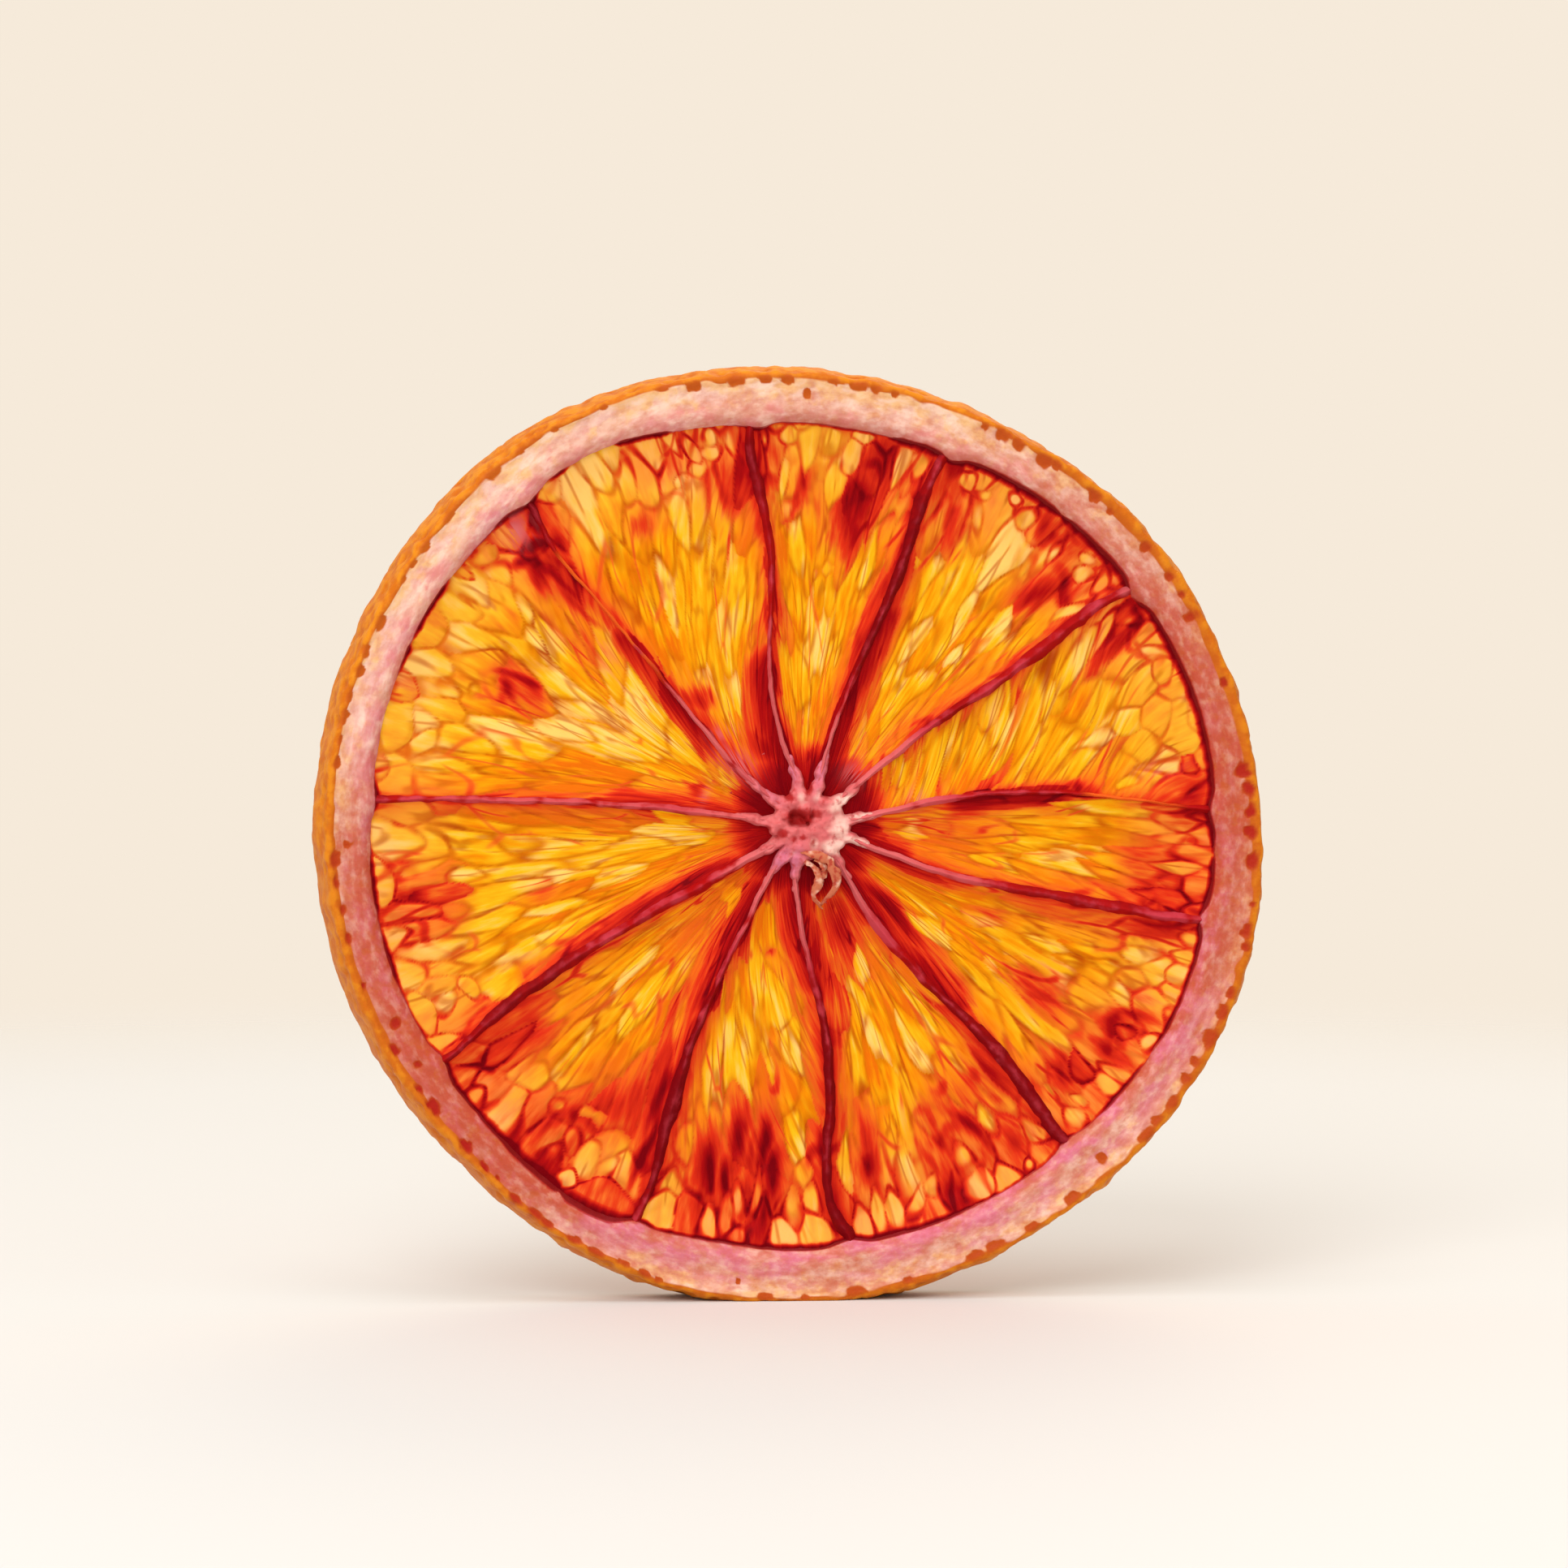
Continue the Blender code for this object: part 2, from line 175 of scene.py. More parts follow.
# Sacs that stand out: (angle, distance, half length, half width, turn from straight out, redness, tone).
# The palest of them, with tones of about 1 and over, are partly pale sacs and partly painted highlights on
# plump sacs.
CELLS = (
    (8, 26.3, 0.6, 0.9, 0, 0.45, 0.5), (13.6, 26.4, 0.9, 1.7, 0, 0, 0.6),
    (16.6, 24.7, 0.9, 1.1, 0, 0, 0.55), (8.6, 24.6, 1.3, 0.6, -8, 0.04, 1),
    (12.4, 23.3, 0.9, 1.1, 0, 0, 0.6), (17.6, 22.8, 0.8, 0.9, 10, 0, 0.8), (7, 22.6, 1, 0.55, 0, 0, 0.95),
    (22.5, 24.3, 1.4, 1.2, 25, 0, 0.45), (26.8, 26, 1, 0.7, -25, 0.05, 0.8),
    (22.6, 26.2, 0.6, 1.2, 0, 0, 0.5), (31.7, 25.9, 1.2, 1.1, 0, 0.42, 0.6),
    (31.8, 23.5, 1.8, 0.5, 32, 0.22, 0.6), (29.5, 20.8, 2.2, 0.8, 35, 0, 0.65),
    (15.8, 19.8, 1.6, 0.6, 15, 0, 1), (25, 18.3, 2.9, 0.8, 55, 0, 0.6), (21.6, 14.3, 2.9, 1.1, 50, 0, 0.62),
    (19.4, 11.6, 2.4, 0.9, 52, 0, 0.5), (27.5, 9.7, 2.2, 1.1, 60, 0, 0.6),
    (29, 7.3, 1.5, 0.8, 65, 0.05, 0.6), (30.8, 14.5, 1.2, 0.6, 45, 0.14, 0.7),
    (38.8, 25.8, 0.8, 0.6, 0, 0.15, 0.4), (41.8, 25.2, 0.6, 0.75, 20, 0, 0.75),
    (43.4, 26.25, 0.35, 0.6, 0, 0.1, 0.9), (47.4, 24.8, 1.1, 0.75, 0, 0, 0.85),
    (39, 22.9, 1.5, 0.5, -10, 0, 0.85), (53.6, 25.5, 0.8, 0.8, 0, 0.05, 0.6),
    (57, 26.2, 0.4, 0.7, 0, 0.06, 0.9), (52.5, 22.8, 1.7, 1.25, 0, 0, 0.9),
    (59.6, 23.4, 1.4, 0.6, 25, 0, 0.8), (60.8, 25.3, 0.5, 0.7, 30, 0.05, 0.75),
    (46, 18.2, 1.3, 0.7, 0, 0, 0.95), (47.6, 15, 0.9, 0.65, -20, 0, 1.05),
    (59.4, 14, 1.8, 0.65, -15, 0, 0.95), (53.5, 10.5, 2, 1.25, 5, 0, 0.7), (63.6, 18.8, 2, 0.9, 0, 0, 0.85),
    (41.8, 14.4, 2, 0.7, -8, 0.22, 0.6), (52, 17.2, 1.4, 0.5, 5, 0, 0.85),
    (64.2, 25.7, 0.5, 0.9, 40, 0.1, 0.7), (72.6, 25.4, 1, 0.5, 0, 0.12, 0.9),
    (75.5, 24.8, 1.5, 0.65, 0, 0.12, 0.9), (73.6, 22, 1.4, 1.2, 0, 0, 0.15),
    (81, 26.15, 0.45, 0.85, 0, 0.05, 0.85), (82.4, 25, 0.8, 0.6, -30, 0.06, 0.7),
    (86.3, 25.8, 1.2, 0.75, -30, 0, 0.5), (89.7, 25.4, 1.6, 0.9, 0, 0, 0.7),
    (93, 26.3, 0.6, 0.95, 45, 0, 0.62), (96.2, 25.9, 1, 0.5, 0, 0.05, 0.85),
    (93.7, 23.5, 1.3, 0.65, -22, 0, 0.85), (85.6, 22.6, 1.2, 0.6, -10, 0, 0.5),
    (93.2, 21.4, 1.5, 0.6, -22, 0.24, 0.8), (76.6, 17.6, 1.8, 0.8, -15, 0, 0.7),
    (88.2, 12.4, 2.6, 1.2, 0, 0, 0.8), (92.2, 18.2, 2, 0.8, 0, 0, 0.9), (92.8, 9.6, 2, 1, 0, 0, 0.65),
    (85.4, 17.4, 0.9, 0.8, -60, 0.14, 0.8), (101.2, 26.3, 0.8, 0.7, 0, 0.1, 0.9),
    (104.3, 27, 0.7, 0.8, 0, 0, 0.75), (104.2, 25.9, 0.6, 0.8, 0, 0.04, 0.8),
    (107.4, 26.3, 0.9, 0.45, 15, 0.16, 0.7), (109.8, 27.4, 0.9, 0.45, 10, 0.08, 0.9),
    (112.8, 27, 1.4, 1.15, 0, 0.07, 0.95), (107.5, 25, 0.6, 0.6, 0, 0.1, 0.6),
    (110.8, 24.7, 0.6, 0.6, 0, 0, 0.75), (112.4, 22.4, 2, 1, -12, 0, 0.9),
    (118.2, 28.1, 1.2, 0.8, 0, 0, 0.75), (117.8, 26.1, 1.4, 0.75, -25, 0, 0.65),
    (121.2, 27.4, 1.5, 0.9, 0, 0, 0.8), (125.4, 25.2, 3, 1.1, -5, 0, 0.8),
    (127.9, 28.4, 0.9, 0.9, 0, 0.1, 0.8), (109, 14.2, 3.4, 0.9, -25, 0, 0.7),
    (118.5, 10.4, 1.7, 0.7, -15, 0, 0.95), (121.6, 18, 2.2, 0.6, -20, 0, 1),
    (115.2, 12.2, 2.8, 0.7, -25, 0, 0.7), (135.4, 27.95, 1.15, 1.5, 0, 0.4, 0.9),
    (139.4, 28.3, 0.45, 0.8, 0, 0, 0.4), (140.6, 26.6, 1, 0.8, -20, 0.04, 0.85),
    (143.5, 28.6, 0.5, 0.35, 0, 0.2, 0.6), (144.8, 27, 1.4, 0.75, -20, 0, 0.8),
    (148.4, 27.5, 1.4, 0.7, 25, 0, 0.7), (152.2, 28.5, 0.7, 1.3, 0, 0, 0.45),
    (150.8, 25.2, 1.7, 0.9, 15, 0, 0.85), (142.4, 24, 1.5, 0.9, -30, 0, 0.8),
    (145.4, 22.3, 1.6, 0.8, -25, 0, 0.85), (157, 27.6, 1, 0.75, -10, 0, 0.75),
    (160, 26, 1.3, 0.75, 15, 0, 0.8), (158.3, 24.3, 0.6, 0.6, 0, 0, 0.55),
    (161.6, 28.7, 0.5, 0.7, 0, 0.28, 0.6), (166.5, 28.3, 0.7, 1.5, 0, 0, 0.45),
    (165.4, 26.7, 1, 1, 0, 0, 0.9), (172.4, 28.8, 0.6, 0.9, 0, 0.22, 0.6),
    (170.5, 24.6, 1.8, 0.9, 0, 0, 0.6), (164, 21.4, 2.4, 1.2, -8, 0, 0.9), (147.2, 12.6, 2, 1, -25, 0, 0.8),
    (152.6, 16.7, 1.7, 0.5, -5, 0, 1.05), (158.4, 17, 1.5, 0.6, 0, 0, 1),
    (156.2, 12.6, 2.5, 0.9, 10, 0, 0.8), (168.2, 15.6, 3, 1, 12, 0.08, 0.2),
    (187.5, 28.9, 0.7, 1.4, 0, 0.1, 0.5), (182.4, 27, 1.6, 0.9, -10, 0, 0.6),
    (186, 25.8, 1.5, 0.6, 15, 0, 0.75), (195.2, 28.7, 1.1, 0.6, 0, 0.12, 0.8),
    (192.6, 27, 1.8, 0.7, -15, 0.32, 0.6), (190.7, 25, 1.8, 0.7, -15, 0.42, 0.5),
    (188.6, 23.6, 1.7, 0.6, -10, 0.04, 0.8), (194, 24.2, 1.3, 0.7, 0, 0.08, 0.2),
    (198.2, 25.2, 2, 0.75, 0, 0, 0.85), (200.6, 28.3, 0.9, 0.8, 0, 0, 0.7),
    (201.6, 26, 1.8, 0.6, -15, 0, 0.5), (206.4, 27.3, 0.8, 1, 0, 0, 0.9),
    (205.8, 28.8, 0.45, 1.4, 0, 0, 0.3), (210.9, 28.6, 1.1, 0.5, -10, 0.06, 0.7),
    (206.3, 25.4, 0.5, 1.2, 0, 0.14, 0.75), (206.2, 22.9, 1.9, 1, 15, 0, 0.65),
    (184, 8.6, 2, 1, -30, 0, 0.8), (192, 16.2, 2, 0.6, -10, 0, 0.85), (198.3, 17.3, 2, 0.5, -5, 0, 0.85),
    (195.3, 13, 1.9, 0.6, 0, 0, 0.95), (184.2, 19.2, 2.6, 0.8, -5, 0, 0.6),
    (216.2, 28.5, 1, 0.95, 0, 0.42, 0.8), (219.3, 28.5, 0.9, 0.7, 0, 0.28, 0.6),
    (216.8, 25.4, 1.4, 0.9, 0, 0.6, 0.5), (220.3, 25.3, 1.5, 0.4, 0, 0.1, 0.3),
    (223.9, 27.4, 1.4, 1.3, 0, 0.18, 0.85), (223.4, 25.2, 1, 0.9, 15, 0, 0.55),
    (229, 25.5, 0.7, 0.6, 0, 0.22, 0.7), (232.2, 28, 0.9, 0.9, 0, 0.36, 0.7),
    (235.5, 28.7, 0.5, 0.55, 0, 0.05, 0.75), (233.4, 26.7, 0.8, 0.9, 0, 0.38, 0.6),
    (237, 26.9, 1.1, 1, -20, 0, 0.55), (241.2, 28.55, 0.85, 1.6, 8, 0.5, 0.7),
    (240.6, 27, 0.9, 0.8, -35, 0, 0.65), (233.8, 24.6, 0.8, 1.1, -20, 0.05, 0.4),
    (224.2, 21.5, 2, 0.6, 5, 0, 0.75), (220.4, 14.6, 1.9, 0.5, 0, 0.04, 0.85),
    (227.2, 15.4, 2.8, 0.8, 6, 0, 0.6), (236.8, 15.9, 2, 0.6, 20, 0.28, 0.6),
    (222, 7, 0.8, 1.3, 0, 0.1, 0.4), (249.6, 28, 1.5, 0.85, 8, 0, 0.75),
    (248.8, 25.8, 0.9, 0.8, 0, 0.04, 0.65), (255.8, 27.9, 1, 0.85, 0, 0.1, 0.7),
    (260, 28.2, 0.6, 0.8, 0, 0.38, 0.8), (259.2, 26, 1.7, 0.6, 10, 0.26, 0.7),
    (262, 26, 1.6, 0.5, 0, 0.38, 0.6), (266.3, 27.9, 0.9, 0.9, 0, 0.05, 0.8),
    (271.4, 27.6, 1, 1.1, 0, 0, 0.5), (267.6, 26, 1.2, 0.8, 0, 0.04, 0.45),
    (271.6, 25.4, 1.3, 0.6, 8, 0, 0.75), (270, 23.6, 0.8, 0.9, 0, 0.08, 0.3),
    (248.6, 23.6, 1, 1, 0, 0.26, 0.6), (268, 20.9, 1.9, 1, 0, 0, 0.65), (251, 15.6, 3, 1.2, 28, 0, 0.6),
    (266.3, 15, 1.8, 0.9, -15, 0, 0.65), (259.2, 12.6, 1.5, 1, 20, 0, 0.55),
    (247.4, 7.1, 1.2, 0.9, 30, 0.05, 0.4), (277.8, 27.4, 1, 0.7, 0, 0.2, 0.85),
    (280.5, 26.4, 1.4, 0.45, 0, 0, 0.5), (282.6, 26.7, 1.1, 0.45, 0, 0, 0.55),
    (277, 23.8, 1.7, 0.7, 0, 0, 0.7), (286.4, 27.2, 1, 0.7, -15, 0.05, 0.65),
    (286.2, 23.9, 2, 0.75, -10, 0, 0.5), (288.9, 26.3, 0.9, 0.6, -35, 0.14, 0.5),
    (295.9, 27.2, 0.8, 0.95, -20, 0.1, 0.95), (295.2, 25.2, 1.2, 1, 0, 0.08, 0.95),
    (299.5, 27.8, 1, 1.1, 0, 0, 0.6), (306.6, 26.2, 0.8, 0.7, 0, 0.28, 0.7),
    (303.2, 27.9, 0.5, 0.7, 0, 0.1, 0.8), (301.5, 24, 1.7, 0.6, 0, 0, 0.75),
    (288, 15.2, 2.2, 0.6, 5, 0, 0.95), (294.8, 16.9, 2.2, 0.5, 0, 0, 1.05), (286, 12, 2.4, 0.6, 8, 0, 0.75),
    (298, 15.6, 2, 0.6, 10, 0, 0.6), (279.2, 13.3, 1.6, 1.2, 0, 0.42, 0.6),
    (291.6, 10.2, 1, 0.8, 0, 0.08, 0.85), (303, 12, 1.8, 0.8, 15, 0.26, 0.5),
    (311.9, 27.1, 1, 0.9, 0, 0.06, 0.9), (312.5, 25, 1.3, 0.5, 0, 0, 0.5),
    (314.6, 26.8, 0.9, 0.4, 20, 0, 0.5), (318.6, 27.5, 1, 0.8, -30, 0.04, 0.5),
    (321, 26.9, 1, 0.5, 0, 0.22, 0.5), (317.7, 25.2, 1.1, 0.9, -20, 0.58, 0.8),
    (326.8, 27.7, 0.5, 0.9, 0, 0.05, 0.75), (327, 25.8, 0.8, 0.6, 0, 0.48, 0.8),
    (332.3, 27.7, 0.6, 0.9, 0, 0.3, 0.6), (337.2, 27.5, 0.8, 0.8, 0, 0, 0.75),
    (340.4, 27.4, 0.8, 0.5, 0, 0, 0.5), (342.8, 27.3, 0.8, 0.6, 0, 0.04, 0.8),
    (336.6, 26, 0.8, 1.2, 0, 0, 0.65), (331.8, 24.3, 1.5, 1, -15, 0, 0.65),
    (338.2, 24.5, 1.3, 1, 22, 0, 0.8), (334.5, 22.7, 1.1, 0.9, 0, 0, 0.5),
    (317.2, 15.6, 2.2, 1, 8, 0, 0.62), (322.8, 15.6, 0.9, 0.5, -20, 0, 1.05),
    (319.2, 11, 1.7, 1, 10, 0, 0.75), (330.6, 13.3, 1.2, 0.7, 0, 0.22, 0.85),
    (333, 18.6, 1.4, 0.8, 0, 0, 0.7), (350.6, 26.9, 0.8, 1.1, 0, 0.34, 0.6),
    (348.2, 25.2, 1.5, 0.8, 0, 0.52, 0.6), (353, 25.6, 1.2, 0.6, 0, 0.12, 0.4),
    (358, 27.1, 0.9, 0.95, 0, 0, 0.75), (351.6, 17.4, 2.4, 0.8, 5, 0, 0.95),
    (348.4, 13.2, 1.7, 1, 15, 0, 0.65), (357, 7.2, 0.9, 0.9, 0, 0.14, 0.9), (357.4, 12, 2, 1, 5, 0.22, 0.3),
    (2, 20.8, 2.8, 0.6, -8, 0, 0.75),
)
# Their lift over the others, what their tones and rednesses are multiplied by, and how near to one of them,
# in sacs, no other sac starts.
CELL_LIFT = 0.12
CELL_TONE = 0.86
CELL_RED = 0.76
CELL_ROOM = 1.1
# How far the other sacs are shifted, in sacs, and turned.
SAC_SEED = 11
SAC_SHIFT = 0.32
SAC_TURN = 0.13
# The distance from the core, in mm, at which the flow coordinates are true to size round the turn.
FLOW_RADIUS = 16.0
# The pulp's grid, which is closer towards the pith, its half thickness and how much further it climbs.
PULP_START = 1.6 * MM
PULP_COLUMNS = 124
PULP_ROWS = 190
PULP_CROWDING = 0.9
PULP_UNDER_RIND = 0.20 * MM
PULP_HALF = 0.62 * MM
PULP_CLIMB = 0.62 * MM
# How near a wall, the pith and the core the flesh climbs up to them.
CLIMB_AT_WALL = 1.1 * MM
CLIMB_AT_PITH = 2.2 * MM
CLIMB_AT_CORE = (3.0 * MM, 6.5 * MM)
# The share of a sac's half width over which its skin rises from the crease, and the least and most height
# that its width gives it.
DOME_SHARE = 0.62
DOME_LEAST = 0.35
DOME_MOST = 1.1
# Where the flesh turns veined, before the pith, and where the sacs grow to their full height.
VEINED_FROM = (-7.5 * MM, -1.5 * MM)
OUTER_FLESH = (14 * MM, 24 * MM)
# How much the flesh's tone changes along a sac, towards the pith, in patches and beside a wall.
TONE_ALONG = 0.08
TONE_RIMWARD = 0.08
TONE_PATCHES = 0.16
TONE_AT_WALL = -0.24
TONE_WALL_WIDTH = 1.4 * MM
# Where the sacs' edges start to wander, how far they do round the core and outwards, and the stains' ends.
WANDER_FROM = (4 * MM, 9 * MM)
WANDER_ROUND = 0.24 * MM
WANDER_OUT = 0.32 * MM
STAIN_WANDER = 0.55 * MM

# Where the flesh is stained red along a wall: (wall, side of it, from, to, width, strength).
FLANKS = (
    (0, -1, 10, 19, 1.33, 0.92), (0, 1, 12, 21, 0.7, 0.64), (1, -1, 10, 26, 0.55, 0.55),
    (1, 1, 9, 22, 0.7, 0.55), (2, -1, 4, 17, 1.33, 0.92), (2, -1, 16, 28, 0.55, 0.74),
    (2, 1, 9, 19, 1.01, 0.74), (3, -1, 4, 28, 0.62, 0.69), (3, 1, 3, 13, 1.4, 0.92),
    (3, 1, 19, 28, 0.86, 0.6), (4, -1, 5, 13, 0.8, 0.62), (4, 1, 8, 19, 1.09, 0.92),
    (4, 1, 18, 24, 0.86, 0.42), (5, -1, 4, 15, 0.94, 0.64), (5, 1, 4, 27, 0.47, 0.51),
    (6, -1, 5, 18, 1.01, 0.87), (6, -1, 17, 29, 0.55, 0.64), (7, -1, 5, 16, 1.17, 0.92),
    (7, -1, 15, 26, 0.78, 0.78), (7, 1, 4, 13, 0.7, 0.64), (8, -1, 4, 13, 1.33, 0.87),
    (8, 1, 4, 17, 1.25, 0.74), (9, -1, 3.5, 9.5, 0.94, 0.83), (9, -1, 21, 28, 0.62, 0.6),
    (9, 1, 4, 18, 1.09, 0.92), (10, -1, 4, 13, 0.86, 0.78), (10, 1, 3.5, 8.5, 1.17, 0.87),
)
# Single stains: (angle, distance, half width, half length, turn from straight out, strength).
STAINS = (
    (243.6, 24.8, 0.3, 3, 4, 1.15), (242, 20.6, 0.5, 2.6, 0, 1), (272.6, 22, 0.3, 2.2, 0, 0.9),
    (304.5, 9, 0.45, 2.4, 0, 1.1), (314, 8, 0.45, 2.8, 0, 1.2), (289, 7.2, 0.9, 1.8, 0, 0.75),
    (119, 5.8, 0.8, 1.3, 0, 0.8), (3.5, 26.5, 1, 0.8, 0, 0.75), (29.2, 24, 0.6, 2.4, 14, 0.6),
    (42, 24, 1.6, 0.6, -20, 0.8), (44.5, 22.2, 0.7, 1.8, -20, 0.75), (51, 25.5, 0.5, 1, 0, 0.62),
    (65, 23, 0.5, 2, 20, 0.4), (78.6, 24.8, 0.7, 1.6, -18, 0.9), (81.6, 21.8, 1.1, 2.4, -15, 0.95),
    (84, 19.3, 0.8, 1, 0, 0.45), (90.5, 22.9, 0.4, 0.8, 0, 0.68), (91.8, 21.6, 0.4, 1.5, -20, 0.4),
    (100.6, 24.6, 0.6, 1.9, -32, 0.62), (103.5, 22.7, 0.8, 1.2, -40, 0.36),
    (118.8, 23.3, 0.6, 0.7, -20, 0.45), (132.2, 27.9, 0.4, 1.2, -10, 1.35),
    (133.8, 26.3, 0.9, 0.55, 0, 1.35), (137.4, 26, 0.8, 0.45, -20, 1), (131, 25.5, 0.5, 0.8, 0, 1),
    (133.2, 23, 0.3, 2.6, 0, 0.75), (135.4, 23.6, 0.25, 2.2, 0, 0.8), (138, 24.4, 0.5, 0.9, -35, 0.55),
    (136.4, 21, 0.25, 1.6, 0, 0.6), (155.8, 22.3, 0.4, 0.8, -35, 1.1), (157.6, 22.6, 0.6, 0.4, -30, 0.5),
    (153.8, 20.6, 0.35, 1.2, -20, 0.55), (153.8, 21, 0.8, 1.9, -20, 0.24),
    (191.5, 28.5, 0.4, 0.9, 15, 0.62), (196.4, 27.3, 0.4, 0.9, 0, 0.4), (211.4, 25.2, 0.9, 2, 0, 0.58),
    (217, 26.8, 0.9, 0.3, 0, 0.8), (217.2, 23.4, 0.9, 1.2, 0, 0.42), (229.4, 26.9, 0.6, 1.8, -8, 0.68),
    (231.2, 25.2, 0.5, 0.7, 0, 0.8), (235.4, 23.9, 0.8, 1.4, 20, 0.46), (238.8, 22.8, 1, 1.6, 15, 0.52),
    (253.6, 24.3, 0.6, 1.8, 10, 1.3), (253.8, 26.7, 0.4, 1.5, 0, 0.72), (256.5, 24.6, 0.4, 1.3, 0, 0.95),
    (257.6, 22.3, 0.5, 1.4, 8, 1.15), (262.3, 22.3, 0.5, 1.9, 5, 1.35), (264.5, 24.2, 0.55, 1.6, 0, 1.4),
    (263.3, 27, 0.4, 2, -6, 0.92), (260, 23.3, 0.35, 1.2, 0, 0.62), (280.8, 24, 0.6, 1.1, 0, 1.1),
    (281, 22.6, 0.4, 1.6, 0, 0.62), (291.3, 27.3, 0.45, 1.5, 0, 1.2), (290.4, 25, 0.25, 1.8, 10, 0.6),
    (295, 23.4, 1.5, 0.6, 0, 0.5), (298.3, 23.8, 0.5, 1.5, 20, 1.25), (299.4, 25.2, 0.4, 1.1, 0, 0.75),
    (294.5, 21.5, 1.5, 1.5, 0, 0.26), (303, 25.6, 0.7, 1.4, 0, 0.6), (307, 21.2, 0.9, 2.4, 0, 0.62),
    (304, 20.8, 0.5, 0.6, 0, 0.68), (315.6, 24.4, 0.5, 1, -15, 0.8), (324, 20, 1, 1.3, 0, 0.46),
    (323, 26, 0.5, 1.6, 0, 0.5), (327.4, 24.8, 0.7, 0.5, 0, 0.72), (330.3, 26.5, 0.5, 1.2, 20, 0.5),
    (343.2, 25, 0.9, 2.6, 8, 0.72), (349, 23.6, 0.8, 1, 0, 0.35), (354, 23, 0.4, 0.9, 0, 0.4),
    (353.8, 26.8, 0.3, 0.7, 0, 0.62), (16.4, 8.7, 0.5, 0.6, 70, 0.95), (73.2, 13.2, 0.7, 1.7, 0, 0.62),
    (333.6, 14.2, 0.5, 1.2, 10, 0.4), (324.5, 18.4, 0.9, 1, 0, 0.4), (193.8, 18.2, 0.6, 1, 0, 0.3),
    (252.4, 8.7, 0.4, 0.4, 0, 0.7), (161.5, 7.9, 0.5, 0.7, 70, 0.7), (131.4, 10.9, 0.7, 0.9, 30, 0.7),
)
# A fainter halo this many times as wide lies round each stain.
HALO = 1.6
STAIN_HALOES = [(angle, distance, HALO * half_width, HALO * half_length, turn, strength)
                for angle, distance, half_width, half_length, turn, strength in STAINS]
STAIN_SHARE = 0.68
HALO_SHARE = 0.28
# How much of the flesh's red is even over each sac.
SAC_RED_SHARE = 0.28
# The red beside every wall: (strength, width).
WALL_REDS = ((0.3, 1.4 * MM), (0.42, 0.5 * MM))
# A flank fades in and out over these distances, and doesn't reach further than this over the wall.
FLANK_START = (-1.2 * MM, 0.8 * MM)
FLANK_END = 2 * MM
FLANK_OVER = 0.3 * MM
# Wide soft blushes of orange red, given as stains are.
BLUSHES = (
    (5, 25.5, 1.6, 2.2, 0, 0.28), (31.5, 24.5, 1.2, 3, 10, 0.32), (20, 8, 1.8, 2, 0, 0.14),
    (43, 23, 1.6, 2.4, -20, 0.24), (50, 26, 4, 1.2, 0, 0.2), (64, 23.5, 1.4, 3, 15, 0.26),
    (45, 9, 2, 3, 0, 0.14), (79, 22.5, 2.2, 4, -15, 0.34), (72, 25.5, 1.5, 2, 0, 0.26),
    (96, 25.5, 1, 2.5, 0, 0.22), (90, 22, 1.2, 1.6, 0, 0.22), (103, 23.5, 2.2, 3.5, -20, 0.3),
    (112, 26, 2.4, 1.6, 0, 0.18), (118.8, 23.4, 1.4, 1.4, 0, 0.24), (129.6, 26.8, 0.7, 1.4, 0, 0.28),
    (117, 7, 3, 2, 0, 0.2), (135.2, 23.6, 1.3, 3.6, 0, 0.4), (141, 19, 1.2, 4.5, 0, 0.22),
    (155, 21.6, 1.3, 2.6, -20, 0.26), (170, 9, 1.2, 3.5, 0, 0.2), (191.5, 26, 2.6, 3, 0, 0.34),
    (189, 28, 2, 1.5, 0, 0.26), (208, 22.5, 1.2, 4.5, 0, 0.26), (216.5, 24.5, 2.2, 3.8, 0, 0.36),
    (219, 19.5, 2.2, 3.5, 0, 0.2), (224, 26.5, 2.5, 2.5, 0, 0.28), (233, 23, 2.8, 3, 0, 0.34),
    (239, 20.5, 1.8, 3.8, 0, 0.34), (236, 14, 1.6, 4, 0, 0.22), (227, 10, 2.5, 3, 0, 0.24),
    (256, 22, 3, 4.2, 0, 0.18), (262, 17, 1.5, 3.5, 0, 0.2), (268, 25, 2.2, 3, 0, 0.18),
    (250, 22.5, 1.4, 3, 0, 0.22), (281, 21.5, 1.7, 3.2, 0, 0.26), (293, 23.5, 2.6, 2.8, 0, 0.26),
    (302, 21.5, 2.4, 3.2, 0, 0.26), (285, 9, 2.5, 3, 0, 0.26), (316, 24.5, 2.2, 2.6, 0, 0.26),
    (325, 20, 2.2, 3, 0, 0.24), (328, 26, 3, 1.8, 0, 0.26), (340, 20, 1.2, 4, 0, 0.2),
    (313, 12, 1.4, 4, 0, 0.26), (352, 24, 2.6, 3.2, 0, 0.36), (356, 9.5, 1.8, 3.5, 0, 0.26),
    (349, 19, 1.4, 3, 0, 0.18), (254, 26, 2.5, 2.5, 0, 0.16), (266, 26.5, 3, 1.6, 0, 0.2),
    (280, 26, 1.8, 2.4, 0, 0.14), (292, 26.8, 3.2, 1.8, 0, 0.14), (304, 26, 2.4, 2.2, 0, 0.16),
    (236, 27, 2.6, 1.6, 0, 0.22), (200, 27.6, 3, 1.6, 0, 0.14), (184, 27.6, 2.2, 1.6, 0, 0.16),
    (20, 25.5, 2.6, 1.6, 0, 0.1), (112, 27.2, 3, 1.2, 0, 0.12),
)
# The flesh is dark red this near to the core.
CORE_STAIN = 6.4 * MM
